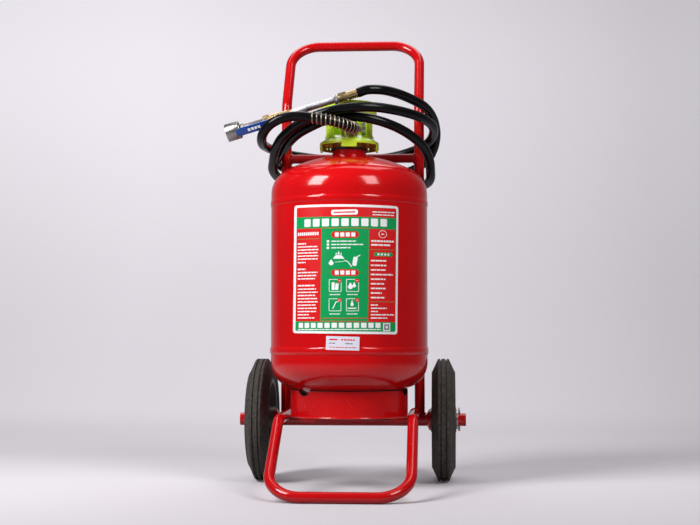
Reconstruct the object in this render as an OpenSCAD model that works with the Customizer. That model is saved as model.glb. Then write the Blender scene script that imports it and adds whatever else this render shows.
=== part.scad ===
/* [Tank] */
// Outside diameter of the pressure tank
tank_d = 300; // [290:2:304]
// Wall thickness of the tank
tank_wall = 2.5; // [2:0.5:4]
// Height of the rolled shell between its two seams
shell_h = 285; // [265:5:305]
// Straight edge of each dished head beyond its seam
head_flange_h = 18; // [12:1:26]
// Radius of the crown of each dished head
head_crown_r = 270; // [262:2:280]
// Radius of the knuckle of each dished head
head_knuckle_r = 51; // [48:1:54]
// Height of the weld bead above the shell at each seam
seam_bead_h = 0.8; // [0.4:0.2:1.4]
// Height from the lower edge of the foot ring to the lower end of the tank's straight side
foot_ring_drop = 103.5; // [98:0.5:110]
// Distance of the foot ring inside the tank's side
foot_ring_inset = 38; // [38:1:43]
// Wall thickness of the foot ring
foot_ring_wall = 3; // [2:0.5:4]
// Radius of the rolled lip on the foot ring
foot_lip_r = 3; // [2:0.5:3.5]
// Width of each drain notch in the foot ring
notch_d = 21; // [14:1:24]

/* [Label] */
// Width of the large label round the tank
label_w = 212; // [190:1:220]
// Height of the large label
label_h = 237.5; // [200:0.5:250]
// Height of the label's lower edge above the lower seam
label_rise = 36; // [34:1:50]
// Width of the small sticker round the tank
sticker_w = 62; // [50:1:70]
// Height of the small sticker
sticker_h = 26; // [18:1:28]
// Thickness of the vinyl
label_t = 0.2; // [0.1:0.05:0.4]

/* [Neck] */
// Diameter of the welded neck collar
collar_d = 65; // [58:1:67]
// Height of the collar above the tank's crown
collar_rise = 9.5; // [7:0.5:12]
// Depth of the collar below the tank's crown
collar_drop = 17; // [12:1:24]
// Diameter of the thread in the collar
neck_thread_d = 30; // [28:1:30]
// Diameter of the rubber gasket
gasket_d = 70; // [68:1:72]
// Thickness of the rubber gasket
gasket_t = 5; // [4:0.5:6]

/* [Valve] */
// Diameter of the valve's flange
valve_flange_d = 64; // [60:1:66]
// Thickness of the valve's flange
valve_flange_t = 9; // [7:0.5:10]
// Diameter of the valve body above its flange
valve_body_d = 31; // [30:0.5:33]
// Height of the valve body above its flange
valve_body_h = 35; // [33:1:37]
// Diameter of the chamber that holds the plug
chamber_d = 18; // [17:0.5:19]
// Diameter of the seat under the plug
seat_d = 10; // [8:0.5:11]
// Outside diameter of the dip tube
dip_tube_d = 22; // [20:0.5:23]
// Gap between the dip tube and the bottom of the tank
dip_tube_gap = 22; // [15:1:30]
// Lift of the plug from shut to fully open
plug_lift = 4; // [2:0.5:4]
// Diameter of the spindle
spindle_d = 8; // [7:0.5:9]
// Outside diameter of the handwheel
handwheel_d = 64; // [56:1:70]
// Thickness of the handwheel's rim
handwheel_rim_d = 9; // [7:0.5:10]
// Number of spokes in the handwheel
handwheel_spokes = 4; // [3:1:6]
// Diameter of the pressure gauge
gauge_d = 28; // [24:1:30]
// Depth of the pressure gauge
gauge_t = 12; // [10:0.5:13]

/* [Guard] */
// Outside diameter of the guard's wall
guard_d = 94; // [92:1:97]
// Wall thickness of the guard
guard_wall = 2.5; // [2:0.5:3]
// Outside diameter of the guard's lower flange
guard_flange_d = 114; // [112:1:117]
// Outside diameter of the guard's upper ring
guard_ring_d = 106; // [103:1:107]
// Height of the guard's wall above its base
guard_wall_h = 48; // [46:1:50]
// Height of the guard's upper ring
guard_ring_h = 20; // [16:1:21]
// Diameter of the holes in the lower flange
guard_hole_d = 4.6; // [3:0.2:6]
// Angle that the guard is turned by on the neck, in degrees
guard_turn = 3.5; // [0:0.5:6]

/* [Frame] */
// Outside diameter of the frame tube
tube_d = 20; // [18:0.5:20]
// Wall thickness of the frame tube
tube_wall = 2; // [1.5:0.5:3]
// Thickness of the pads between the tank and the uprights
pad_t = 6.4; // [6.4:0.2:7]
// Height above the upper seam at which the uprights bend back
handle_bend_rise = 209; // [196:1:221]
// Height of the handle bar above the upper seam
handle_rise = 351; // [331:1:361]
// Distance of the handle bar behind the tank's axis
handle_back = 205; // [190:1:209]
// Bend radius of the handle
handle_bend_r = 58; // [45:1:65]
// Diameter of the cross bar
cross_bar_d = 18; // [16:0.5:19]
// Height of the cross bar above the upper seam
cross_bar_rise = 101; // [101:1:104]
// Distance of the foot bar in front of the tank's axis
foot_reach = 280; // [260:1:300]
// Distance in front of the tank's axis at which the rails turn down
rail_reach = 100; // [90:1:120]
// Bend radius where the rails turn down
rail_bend_r = 60; // [45:1:70]
// Bend radius at the corners of the foot bar
foot_bend_r = 60; // [45:1:70]
// Height of each tank bracket
bracket_h = 40; // [25:1:60]
// Width of each tank bracket
bracket_w = 16; // [12:1:18]

/* [Wheels] */
// Outside diameter of each tyre
wheel_d = 240; // [230:2:250]
// Width of each tyre
tyre_w = 46; // [40:1:46]
// Width of the tyre's tread at its crown
crown_w = 21; // [18:1:28]
// Diameter of the wheel's rim
rim_d = 160; // [140:2:170]
// Distance from the middle of each upright to the middle of its wheel
wheel_out = 47; // [46:1:49]
// Length of the wheel's hub
hub_l = 50; // [48:1:52]
// Diameter of the axle
axle_d = 25; // [22:0.5:25]
// Distance of the axle behind the tank's axis
axle_back = 100; // [99:1:101]
// Length of the axle past each hub
axle_end_l = 19; // [15:1:20]
// Running clearance of the wheel on its axle, on the radius
axle_play = 0.06; // [0.03:0.01:0.1]
// Diameter of the split pins
split_pin_d = 4; // [3:0.5:5]
// Length of the split pins below the axle's middle
split_pin_l = 22; // [19:1:26]

/* [Hose and lance] */
// Outside diameter of the hose
hose_d = 18.5; // [16:0.5:18.5]
// Wire diameter of the spring round the hose
spring_wire_d = 2; // [1.5:0.1:2]
// Gap between the hose and the spring round it
spring_gap = 0.1; // [0.1:0.05:0.2]
// Number of turns of the spring round the hose
spring_turns = 18; // [14:1:18]
// Length of hose that the spring covers
spring_l = 126; // [110:1:126]
// Diameter of the chromed lance tube
lance_tube_d = 12.6; // [11:0.2:14]
// Length of the chromed lance tube
lance_tube_l = 90; // [80:1:92]
// Bore of the lance
lance_bore_d = 9; // [7:0.5:9.5]
// Diameter of the ball valve's body
ball_body_d = 19.6; // [19:0.2:21]
// Diameter of the ball in the valve
ball_d = 14.8; // [13:0.2:14.8]
// Diameter of the nozzle head
nozzle_d = 34; // [32:0.5:35]
// Length of the nozzle head
nozzle_l = 27.5; // [25:0.5:28]
// Bore of the nozzle head's mouth
nozzle_mouth_d = 29; // [26:0.5:30]
// Length of the blue lever from its pivot
lever_l = 86; // [80:1:86]
// Width of the lever's sleeve
lever_w = 15; // [13:0.5:15.5]
// Angle that the lever leans down from level, in degrees
lever_lean = 25; // [20:1:30]

/* [Hidden] */

// Colours of the finishes
tank_red = [0.78, 0.05, 0.08];
guard_green = [0.66, 0.80, 0.18];
brass = [0.80, 0.66, 0.36];
steel = [0.62, 0.62, 0.62];
chrome = [0.86, 0.86, 0.88];
black = [0.10, 0.10, 0.10];
hub_grey = [0.24, 0.22, 0.21];

// Radii of the main round pieces
tank_r = tank_d / 2;
axle_r = axle_d / 2;
tube_r = tube_d / 2;
tube_bore_r = tube_r - tube_wall;
wheel_r = wheel_d / 2;
guard_r = guard_d / 2;
hose_r = hose_d / 2;

// The frame's origin lies on the floor, midway between the front of the foot bar
// and the back of the wheels
tank_y = (foot_reach + tube_r - axle_back - wheel_r) / 2;
axle_y = tank_y + axle_back;
axle_z = wheel_r;

// Gap left for the weld between pieces that lie side by side
weld_gap = 0.1;
// Gap left round a sleeve or washer that is pushed on
push_gap = 0.02;
// Gap between the tank's paint and the vinyl on it
label_gap = 0.1;
// Clearance of the loose parts that turn or slide inside the valves
inner_gap = 0.3;
// Overlap of a cutting shape beyond the surface it cuts
cut = 1;
// Length by which each straight run of a bent tube reaches into its bends
bend_lap = 1;
// Thinning of the tube, on its radius, where it is bent
bend_slim = 0.02;

// Heights of the tank, from the floor up
foot_ring_z = axle_z + axle_r;
low_edge_z = foot_ring_z + foot_ring_drop;
low_seam_z = low_edge_z + head_flange_h;
high_seam_z = low_seam_z + shell_h;
high_edge_z = high_seam_z + head_flange_h;
crown_drop = sqrt(pow(head_crown_r - head_knuckle_r, 2) - pow(tank_r - head_knuckle_r, 2));
head_h = head_crown_r - crown_drop;
crown_z = high_edge_z + head_h;
bottom_z = low_edge_z - head_h;

// Heights of the neck and the valve
collar_top_z = crown_z + collar_rise;
flange_z = collar_top_z + gasket_t;
guard_z = flange_z + valve_flange_t;
body_top_z = guard_z + valve_body_h;

// Sizes of the foot ring
foot_ring_r = tank_r - foot_ring_inset;
lip_inset = 1.1;
lip_ring_r = foot_ring_r - lip_inset;
notch_drop = 0.685;
notch_angles = [-45, 75, 195];

// Sizes of the valve's small parts
thread_r = neck_thread_d / 2;
valve_body_r = valve_body_d / 2;
chamber_r = chamber_d / 2;
plug_r = chamber_r - inner_gap;
plug_h = 12;
seat_h = 4;
seat_z = guard_z + 13;
chamber_z = seat_z + seat_h;
plug_z = chamber_z + inner_gap;
spindle_r = spindle_d / 2;
plug_floor = 3;
spindle_play = 0.08;
bonnet_h = 9;
bonnet_w = 27;
gland_h = 7;
gland_w = 17;
guard_nut_h = 7;
guard_nut_w = 41;
wheel_hub_h = 14;
wheel_hub_gap = 2;
wheel_hub_r = 9;
top_nut_h = 4;
top_nut_w = 14;
hub_z = body_top_z + bonnet_h + gland_h + wheel_hub_gap;
spindle_top_z = hub_z + wheel_hub_h + top_nut_h;
rim_z = hub_z + 6;
spoke_r = 2.6;
dip_bore_r = 9;

// Sizes of the gauge, which points to the side
gauge_r = gauge_d / 2;
gauge_x = 24;
gauge_up = 28;
gauge_wall = 1.4;
gauge_stub_r = 5;
dial_t = 0.5;
dial_set = 3.4;
glass_t = 1;
needle_l = 9;
needle_w = 1.2;
needle_t = 0.4;
needle_pin_r = 0.8;
dial_z = guard_z + gauge_up;

// Sizes of the guard, measured from its base
guard_flange_r = guard_flange_d / 2;
guard_ring_r = guard_ring_d / 2;
guard_bore_r = valve_body_r + 0.5;
web_t = 3;
sill_h = 8;
flange_drop = 11;
leg_drop = 19;
arch_drop = 4;
ring_flare_h = 8;
arch_angle = 68;
leg_angle = 8;
window_angle = 45.5;
side_angle = 18;
slot_angle = 40;
slot_h = 15;
hole_angles = [118, 138, 222, 232];
tab_w = 29;
tab_h = 16;
tab_t = 3;
bead_r = 1.9;

// Sizes of the frame
upright_x = sqrt(pow(tank_r + pad_t + tube_r, 2) - pow(axle_back, 2));
handle_bend_z = high_seam_z + handle_bend_rise;
handle_z = high_seam_z + handle_rise;
cross_bar_z = high_seam_z + cross_bar_rise;
rail_x = lip_ring_r + foot_lip_r + weld_gap + tube_r;
rail_z = axle_z + 12;
handle_y = tank_y + handle_back;
foot_y = tank_y - foot_reach;
bracket_inset = 12;
bracket_zs = [low_seam_z + bracket_inset, high_seam_z - bracket_inset - bracket_h];

// Places along the axle, from the middle outward
wheel_x = upright_x + wheel_out;
hub_in_x = wheel_x - hub_l / 2;
hub_out_x = wheel_x + hub_l / 2;
hub_play = 0.3;
washer_t = 3;
washer_r = 19;
pin_x = hub_out_x + hub_play + washer_t + split_pin_d / 2 + 0.5;
axle_end_x = hub_out_x + axle_end_l;
collar_in_x = upright_x + tube_r + 5;
collar_out_x = hub_in_x - hub_play;
bush_r = 16;
hub_boss_r = 26;
rim_r = rim_d / 2;
rim_wall = 8;
rim_w = 40;
web_w = 10;

// Middle line of the hose on a tank with its uprights at 133 and its outlet at 677,
// measured from the tank's axis at floor height
coils_x = 133;
coils_z = 677;
coils = [
    // out of the valve and round the front to the left
    [9, -36, 677], [14, -56, 677], [14, -71, 675], [7, -86, 676], [-7, -98, 680],
    [-30, -106, 685], [-60, -109, 690], [-90, -110, 693], [-115, -110, 690], [-135, -107, 682],
    [-149, -99, 672], [-158, -84, 662], [-162, -64, 656], [-164, -40, 653], [-165, -12, 653],
    [-164, 16, 654], [-162, 46, 655], [-158, 74, 656], [-155, 100, 656],
    // behind the uprights, first time
    [-149, 125, 656], [-132, 145, 655], [-105, 157, 652], [-70, 163, 648], [-30, 166, 645],
    [10, 166, 645], [50, 160, 647], [88, 150, 652], [117, 139, 659], [141, 126, 667],
    [156, 104, 677],
    // forward on the right and over the front, highest loop
    [162, 78, 687], [161, 50, 695], [152, 22, 701], [137, -8, 705], [113, -36, 709],
    [84, -60, 712], [53, -76, 714], [22, -85, 713], [-8, -89, 710], [-36, -88, 704],
    // down on the left
    [-62, -82, 696], [-87, -72, 686], [-109, -56, 675], [-127, -36, 663], [-139, -11, 652],
    [-147, 15, 640], [-153, 44, 628], [-158, 73, 618], [-157, 100, 611],
    // behind the uprights, second time, lowest loop
    [-152, 126, 606], [-136, 148, 600], [-108, 164, 594], [-72, 173, 590], [-32, 176, 588],
    [10, 176, 587], [52, 172, 586], [92, 163, 585], [124, 149, 587], [146, 129, 591],
    [155, 104, 598],
    // forward on the right and over the front, lower loop
    [156, 76, 611], [154, 48, 629], [146, 22, 646], [133, -4, 659], [115, -28, 670],
    [93, -47, 680], [66, -60, 689], [37, -68, 695], [8, -70, 698], [-20, -69, 696],
    // down on the left, inner strand
    [-46, -65, 690], [-70, -57, 681], [-92, -43, 672], [-109, -22, 663], [-122, 4, 655],
    [-134, 34, 647], [-146, 68, 640], [-154, 100, 634],
    // behind the uprights, third time
    [-149, 126, 630], [-134, 148, 625], [-108, 166, 620], [-72, 178, 615], [-32, 184, 613],
    [10, 185, 612], [52, 182, 613], [92, 174, 617], [126, 161, 627], [150, 146, 644],
    [162, 134, 664],
    // up on the right and forward to the lance
    [167, 118, 687], [165, 94, 706], [159, 66, 719], [149, 38, 729], [134, 10, 736],
    [114, -15, 742], [92, -38, 747], [68, -55, 750], [40, -66, 749], [20, -66, 743]
];
hose_sides = 8;
spring_rings = 8;
spring_sides = 6;
spring_start = 1.5;

// The coils move up with the outlet, and out with the uprights that they go round
outlet_up = 21.85;
outlet_z = guard_z + outlet_up;
function spread(x) =
    abs(x) < coils_x ? x * upright_x / coils_x : x + sign(x) * (upright_x - coils_x);
route = [for (p = coils) [spread(p.x), p.y, p.z + outlet_z - coils_z]];

// The valve's outlet meets the first point of the hose, and the lance meets the last
outlet_reach = norm([route[0].x, route[0].y]);
outlet_turn = atan2(route[0].x, -route[0].y);
outlet_boss_r = 9;
outlet_tail_r = 8;
outlet_bore_r = 5.5;
outlet_nut_l = 11;
outlet_nut_w = 22;
outlet_tail_gap = 2;
lance_p = route[len(route) - 1];
lance_run = lance_p - route[len(route) - 2];
lance_slope = atan2(-lance_run.z, -lance_run.x);

// Places along the lance, from the hose to the mouth of the nozzle
tail_l = 19;
tail_r = 8.6;
tail_neck_l = 2;
tail_neck_r = 6;
lance_nut_s = tail_l + tail_neck_l;
lance_nut_l = 16.5;
lance_nut_w = 18;
union_s = lance_nut_s + lance_nut_l;
union_l = 9.5;
union_r = 8.6;
tube_s = union_s + union_l;
ball_body_s = tube_s + lance_tube_l;
ball_body_l = 34;
ball_body_r = ball_body_d / 2;
ball_s = ball_body_s + ball_body_l / 2;
ball_neck_l = 2;
ball_neck_r = 7;
hex_s = ball_body_s + ball_body_l + ball_neck_l;
hex_l = 12;
hex_w = 21;
pipe_s = hex_s + hex_l;
pipe_l = 47;
pipe_r = 7.6;
pipe_collar_l = 8.5;
pipe_collar_r = 9.5;
nozzle_s = pipe_s + pipe_l;
lance_bore_r = lance_bore_d / 2;
nozzle_r = nozzle_d / 2;
nozzle_mouth_r = nozzle_mouth_d / 2;
nozzle_mouth_l = 18;

// Sizes across the lance, at the ball valve
ball_r = ball_d / 2;
stem_r = 3;
stem_play = 0.06;
boss_r = 6;
boss_h = ball_body_r + 4.5;
shoulder_r = 4.5;
shoulder_h = boss_h + inner_gap;
strap_t = 2;
strap_w = 11;
strap_eye_r = 8;
lever_nut_h = 4;
lever_nut_w = 10;
sleeve_t = 4.4;
sleeve_l = 66;
sleeve_gap = 0.5;
strap_h = nozzle_r + sleeve_gap + (sleeve_t - strap_t) / 2;

// -- general shapes ------------------------------------------------------------

module at_tank() {
    translate([0, tank_y, 0]) children();
}

module disc(r, h, z = 0) {
    translate([0, 0, z]) cylinder(r = r, h = h, $fn = 96);
}

module ring(r_out, r_in, h, z = 0) {
    difference() {
        disc(r_out, h, z);
        disc(r_in, h + 2 * cut, z - cut);
    }
}

// A hexagonal prism of a width across its flats
module hex(w, h, z = 0) {
    translate([0, 0, z]) cylinder(d = w / cos(30), h = h, $fn = 6);
}

module hex_ring(w, r_in, h, z = 0) {
    difference() {
        hex(w, h, z);
        disc(r_in, h + 2 * cut, z - cut);
    }
}

// The children, drawn on both sides of the middle plane
module both_sides() {
    children();
    mirror([1, 0, 0]) children();
}

// Turns the children so that their Z axis runs outward along X on one side
module along_axle(side) {
    translate([0, axle_y, axle_z]) rotate([0, 90 * side, 0]) children();
}

function unit(v) = v / norm(v);

// A rod from one point to another
module rod(a, b, r) {
    d = b - a;
    len_d = norm(d);
    translate(a) rotate([0, acos(d.z / len_d), atan2(d.y, d.x)]) cylinder(r = r, h = len_d, $fn = 64);
}

// A bend that starts at a point in one direction and ends in another
module bend(corner, u, v, bend_r, r) {
    turn = acos(u * v);
    start = corner - u * bend_r * tan(turn / 2);
    inward = unit(v - (v * u) * u);
    centre = start + inward * bend_r;
    up = cross(-inward, u);
    multmatrix([
        [-inward.x, u.x, up.x, centre.x],
        [-inward.y, u.y, up.y, centre.y],
        [-inward.z, u.z, up.z, centre.z],
        [0, 0, 0, 1]
    ])
        rotate_extrude(angle = turn, $fn = 128) translate([bend_r, 0]) circle(r = r, $fn = 64);
}

// A bent bar along the corners of a path, with a bend radius for each corner
module bent_bar(path, bend_rs, r) {
    n = len(path);
    dirs = [for (i = [0:n - 2]) unit(path[i + 1] - path[i])];
    trims = [
        for (i = [0:n - 1])
            (i == 0 || i == n - 1) ? 0 : bend_rs[i] * tan(acos(dirs[i - 1] * dirs[i]) / 2)
    ];
    laps = [for (i = [0:n - 1]) trims[i] > 0 ? trims[i] - bend_lap : 0];
    for (i = [0:n - 2])
        rod(path[i] + dirs[i] * laps[i], path[i + 1] - dirs[i] * laps[i + 1], r);
    for (i = [1:n - 2])
        bend(path[i], dirs[i - 1], dirs[i], bend_rs[i], r - bend_slim);
}

// A sector of a ring, between two angles measured from the front towards +X
module sector(r_in, r_out, a0, a1, z0, z1) {
    rotate([0, 0, a0 - 90])
        rotate_extrude(angle = a1 - a0, $fn = 128)
            translate([r_in, z0]) square([r_out - r_in, z1 - z0]);
}

// -- swept wire and hose ---------------------------------------------------------

function tangent(p, i) =
    i == 0 ? unit(p[1] - p[0]) :
    i == len(p) - 1 ? unit(p[i] - p[i - 1]) :
    unit(unit(p[i + 1] - p[i]) + unit(p[i] - p[i - 1]));

// Side directions along a path, each turned as little as possible from the last
function carried(side, t) = unit(side - (side * t) * t);
function sides_along(p) = [
    for (
        i = 0, s = carried([0, 0, 1], tangent(p, 0));
        i < len(p);
        i = i + 1, s = i < len(p) ? carried(s, tangent(p, i)) : s
    ) s
];

function ring_points(c, s, t, r, n) = [
    for (j = [0:n - 1]) c + r * (cos(360 * j / n) * s + sin(360 * j / n) * cross(t, s))
];

module swept(p, r, n) {
    s = sides_along(p);
    last = len(p) - 1;
    points = [for (i = [0:last]) each ring_points(p[i], s[i], tangent(p, i), r, n)];
    walls = [
        for (i = [0:last - 1], j = [0:n - 1])
            let (a = i * n + j, b = i * n + (j + 1) % n)
                each [[a, a + n, b + n], [a, b + n, b]]
    ];
    first_cap = [for (j = [1:n - 2]) [0, j, j + 1]];
    last_cap = [for (j = [1:n - 2]) [last * n, last * n + j + 1, last * n + j]];
    polyhedron(points = points, faces = concat(walls, first_cap, last_cap));
}

// Length of a path up to each of its points
function lengths_along(p) = [
    for (i = 0, s = 0; i < len(p); i = i + 1, s = i < len(p) ? s + norm(p[i] - p[i - 1]) : s) s
];
route_s = lengths_along(route);
route_sides = sides_along(route);

function leg_at(s) = [for (i = [0:len(route) - 2]) if (route_s[i] <= s && s < route_s[i + 1]) i][0];
function part_at(s, i) = (s - route_s[i]) / (route_s[i + 1] - route_s[i]);
function mixed(a, b, f) = a + (b - a) * f;

// A point of the spring, from 0 at its start to 1 at its end
spring_r = (hose_r + spring_gap + spring_wire_d / 2) / cos(180 / spring_rings);
function spring_point(f) =
    let (
        s = spring_start + spring_wire_d + f * (spring_l - spring_start - spring_wire_d),
        i = leg_at(s),
        g = part_at(s, i),
        c = mixed(route[i], route[i + 1], g),
        t = unit(mixed(tangent(route, i), tangent(route, i + 1), g)),
        side = carried(mixed(route_sides[i], route_sides[i + 1], g), t),
        a = 360 * spring_turns * f
    )
        c + spring_r * (cos(a) * side + sin(a) * cross(t, side));
spring_path = [for (k = [0:spring_turns * spring_rings]) spring_point(k / (spring_turns * spring_rings))];

// Least gap between stretches of a wire that lie more than a length apart
function least_gap(p, s, r, apart) =
    min([
        for (i = [0:len(p) - 2], j = [i + 1:len(p) - 1])
            if (s[j] - s[i] > apart) norm(p[j] - p[i])
    ]) - 2 * r;
halved_route = [
    for (i = [0:len(route) - 2]) each [route[i], mixed(route[i], route[i + 1], 0.5)]
];
echo("hose: least gap to itself", least_gap(halved_route, lengths_along(halved_route), hose_r, 4 * hose_d));
echo("hose: length", route_s[len(route) - 1]);
echo(
    "spring: least gap to itself",
    least_gap(spring_path, lengths_along(spring_path), spring_wire_d / 2, 4 * spring_r)
);

// -- tank ------------------------------------------------------------------------

// Half outline of a dished head, from its axis outward, with its straight edge below zero
module dish(inset) {
    r = tank_r - inset;
    crown = head_crown_r - inset;
    knuckle = head_knuckle_r - inset;
    knuckle_x = tank_r - head_knuckle_r;
    spread = 2 * crown * knuckle_x / crown_drop;
    intersection() {
        union() {
            intersection() {
                translate([0, -crown_drop]) circle(r = crown, $fn = 256);
                polygon([[0, -crown_drop], [spread, 2 * crown - crown_drop], [0, 2 * crown - crown_drop]]);
            }
            translate([knuckle_x, 0]) circle(r = knuckle, $fn = 128);
            translate([0, -head_flange_h]) square([r, head_flange_h]);
        }
        translate([0, -head_flange_h]) square([r, head_h + head_flange_h + cut]);
    }
}

module dished_head() {
    rotate_extrude($fn = 180) difference() {
        dish(0);
        dish(tank_wall);
    }
}

module solid_head() {
    rotate_extrude($fn = 180) dish(0);
}

module tank_shell() {
    bead_r = 2 * seam_bead_h + 0.4;
    color(tank_red) at_tank() union() {
        ring(tank_r, tank_r - tank_wall, shell_h, low_seam_z);
        for (z = [low_seam_z + bead_r, high_seam_z - bead_r])
            translate([0, 0, z])
                rotate_extrude($fn = 180)
                    translate([tank_r + seam_bead_h - bead_r, 0]) circle(r = bead_r, $fn = 24);
    }
}

module top_head() {
    color(tank_red) at_tank() difference() {
        translate([0, 0, high_edge_z]) dished_head();
        disc(collar_d / 2, 2 * head_h, high_edge_z);
    }
}

module bottom_head() {
    color(tank_red) at_tank() translate([0, 0, low_edge_z]) mirror([0, 0, 1]) dished_head();
}

module foot_ring() {
    lip_z = foot_ring_z + foot_lip_r;
    color(tank_red) at_tank() difference() {
        union() {
            ring(foot_ring_r, foot_ring_r - foot_ring_wall, low_edge_z - lip_z, lip_z);
            translate([0, 0, lip_z])
                rotate_extrude($fn = 180) translate([lip_ring_r, 0]) circle(r = foot_lip_r, $fn = 32);
        }
        translate([0, 0, low_edge_z]) mirror([0, 0, 1]) solid_head();
        for (a = notch_angles)
            rotate([0, 0, a])
                translate([0, -foot_ring_r + foot_ring_wall + notch_d / 2, low_edge_z - notch_drop * head_h])
                    rotate([90, 0, 0]) cylinder(d = notch_d, h = notch_d, $fn = 48);
    }
}

module neck_collar() {
    color(tank_red) at_tank()
        ring(collar_d / 2, thread_r, collar_drop + collar_rise, crown_z - collar_drop);
}

module neck_gasket() {
    color(black) at_tank() ring(gasket_d / 2, thread_r, gasket_t, collar_top_z);
}

// A sheet of vinyl on the front of the tank, with a width along its curve
module sheet(w, h, z) {
    half = w / 2 / tank_r * 180 / PI;
    sector(tank_r + label_gap, tank_r + label_gap + label_t, -half, half, z, z + h);
}

module front_label() {
    color("white") at_tank() sheet(label_w, label_h, low_seam_z + label_rise);
}

module small_sticker() {
    color("lavender") at_tank()
        sheet(sticker_w, sticker_h, low_seam_z + (label_rise - sticker_h) / 2 + 2);
}

// -- valve -----------------------------------------------------------------------

module at_outlet() {
    translate([0, 0, outlet_z]) rotate([0, 0, outlet_turn]) rotate([90, 0, 0]) children();
}

module valve_body() {
    nut_z = outlet_reach - outlet_nut_l;
    color(brass) at_tank() difference() {
        union() {
            disc(thread_r, flange_z - crown_z + collar_drop, crown_z - collar_drop);
            disc(valve_flange_d / 2, valve_flange_t, flange_z);
            disc(valve_body_r, valve_body_h, guard_z);
            at_outlet() disc(outlet_boss_r, nut_z - push_gap);
            at_outlet() disc(outlet_tail_r, outlet_reach - outlet_tail_gap);
            translate([0, 0, dial_z]) rotate([0, 90, 0]) disc(gauge_stub_r, gauge_x);
        }
        disc(dip_tube_d / 2, crown_z - collar_drop, 15);
        disc(dip_bore_r, seat_z - crown_z + collar_drop + cut, crown_z - collar_drop - cut);
        disc(seat_d / 2, seat_h + 2 * cut, seat_z - cut);
        disc(chamber_r, body_top_z - chamber_z + cut, chamber_z);
        at_outlet() disc(outlet_bore_r, outlet_reach);
        translate([0, 0, dial_z]) rotate([0, 90, 0]) disc(1.5, gauge_x + cut);
    }
}

module valve_guard() {
    inner = guard_r - guard_wall;
    outer = guard_flange_r + cut;
    ring_z = guard_wall_h + ring_flare_h;
    back_angle = arch_angle + leg_angle;
    low_z = sill_h + 0.5;
    color(guard_green) at_tank() translate([0, 0, guard_z]) rotate([0, 0, guard_turn]) {
        difference() {
            union() {
                rotate_extrude($fn = 128) polygon([
                    [guard_bore_r, 0], [inner, 0],
                    [guard_flange_r - guard_wall, -1], [guard_flange_r - guard_wall, -leg_drop],
                    [guard_flange_r, -leg_drop], [guard_flange_r, 1],
                    [guard_r, sill_h], [guard_r, guard_wall_h],
                    [guard_ring_r, ring_z], [guard_ring_r, ring_z + guard_ring_h],
                    [guard_ring_r - guard_wall, ring_z + guard_ring_h], [guard_ring_r - guard_wall, ring_z + 1],
                    [inner, guard_wall_h + 1], [inner, web_t], [guard_bore_r, web_t]
                ]);
                translate([0, 0, ring_z + guard_ring_h])
                    rotate_extrude($fn = 128)
                        translate([guard_ring_r - guard_wall / 2, 0]) circle(r = bead_r, $fn = 24);
            }
            // the arch in the front of the lower flange, and its shorter back between the two legs
            sector(inner, outer, -arch_angle, arch_angle, -leg_drop - cut, -arch_drop);
            sector(inner, outer, back_angle, 360 - back_angle, -leg_drop - cut, -flange_drop);
            // the front window, the two side windows and the slot at the back
            sector(inner - cut, outer, -window_angle, window_angle, low_z, guard_wall_h - 2);
            for (a = [-90, 90])
                sector(inner - cut, outer, a - side_angle, a + side_angle, low_z + 5, guard_wall_h - 3);
            sector(inner - cut, outer, 180 - slot_angle, 180 + slot_angle, low_z, low_z + slot_h);
            // the small holes round the back of the lower flange
            for (a = hole_angles)
                rotate([0, 0, a]) translate([0, -inner, -4])
                    rotate([90, 0, 0]) cylinder(d = guard_hole_d, h = outer - inner, $fn = 32);
        }
        // the front tab
        translate([-tab_w / 2, -guard_flange_r - 0.6, sill_h - arch_drop - tab_h])
            cube([tab_w, tab_t, tab_h]);
    }
}

module guard_nut() {
    color(brass) at_tank() hex_ring(guard_nut_w, valve_body_r, guard_nut_h, guard_z + web_t);
}

module bonnet() {
    color(brass) at_tank() hex_ring(bonnet_w, spindle_r + spindle_play, bonnet_h, body_top_z);
}

module gland_nut() {
    color(brass) at_tank() hex_ring(gland_w, spindle_r + spindle_play, gland_h, body_top_z + bonnet_h);
}

module valve_plug() {
    color(steel) at_tank() difference() {
        disc(plug_r, plug_h, plug_z);
        disc(spindle_r + inner_gap, plug_h, plug_z + plug_floor);
    }
}

module spindle() {
    low = plug_z + plug_floor + plug_lift + inner_gap;
    color(steel) at_tank() disc(spindle_r, spindle_top_z - low, low);
}

module handwheel() {
    rim_r = (handwheel_d - handwheel_rim_d) / 2;
    color(black) at_tank() difference() {
        union() {
            disc(wheel_hub_r, wheel_hub_h, hub_z);
            translate([0, 0, rim_z])
                rotate_extrude($fn = 96) translate([rim_r, 0]) circle(d = handwheel_rim_d, $fn = 32);
            for (i = [0:handwheel_spokes - 1])
                rotate([0, 0, 45 + 360 * i / handwheel_spokes])
                    rod([wheel_hub_r - 2, 0, rim_z], [rim_r, 0, rim_z], spoke_r);
        }
        disc(spindle_r, wheel_hub_h + 2 * cut, hub_z - cut);
    }
}

module handwheel_nut() {
    color(steel) at_tank() hex_ring(top_nut_w, spindle_r, top_nut_h, spindle_top_z - top_nut_h);
}

module dip_tube() {
    low = bottom_z + tank_wall + dip_tube_gap;
    color("lightgrey") at_tank()
        ring(dip_tube_d / 2 - push_gap, dip_bore_r, crown_z - collar_drop + 15 - low, low);
}

// -- gauge -------------------------------------------------------------------------

module at_gauge() {
    translate([gauge_x, 0, dial_z]) rotate([0, 90, 0]) children();
}

module gauge_case() {
    color(chrome) at_tank() at_gauge() difference() {
        disc(gauge_r, gauge_t);
        disc(gauge_r - gauge_wall, gauge_t, gauge_wall);
    }
}

module gauge_dial() {
    color("white") at_tank() at_gauge()
        disc(gauge_r - gauge_wall - push_gap, dial_t, gauge_t - dial_set - dial_t);
}

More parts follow.
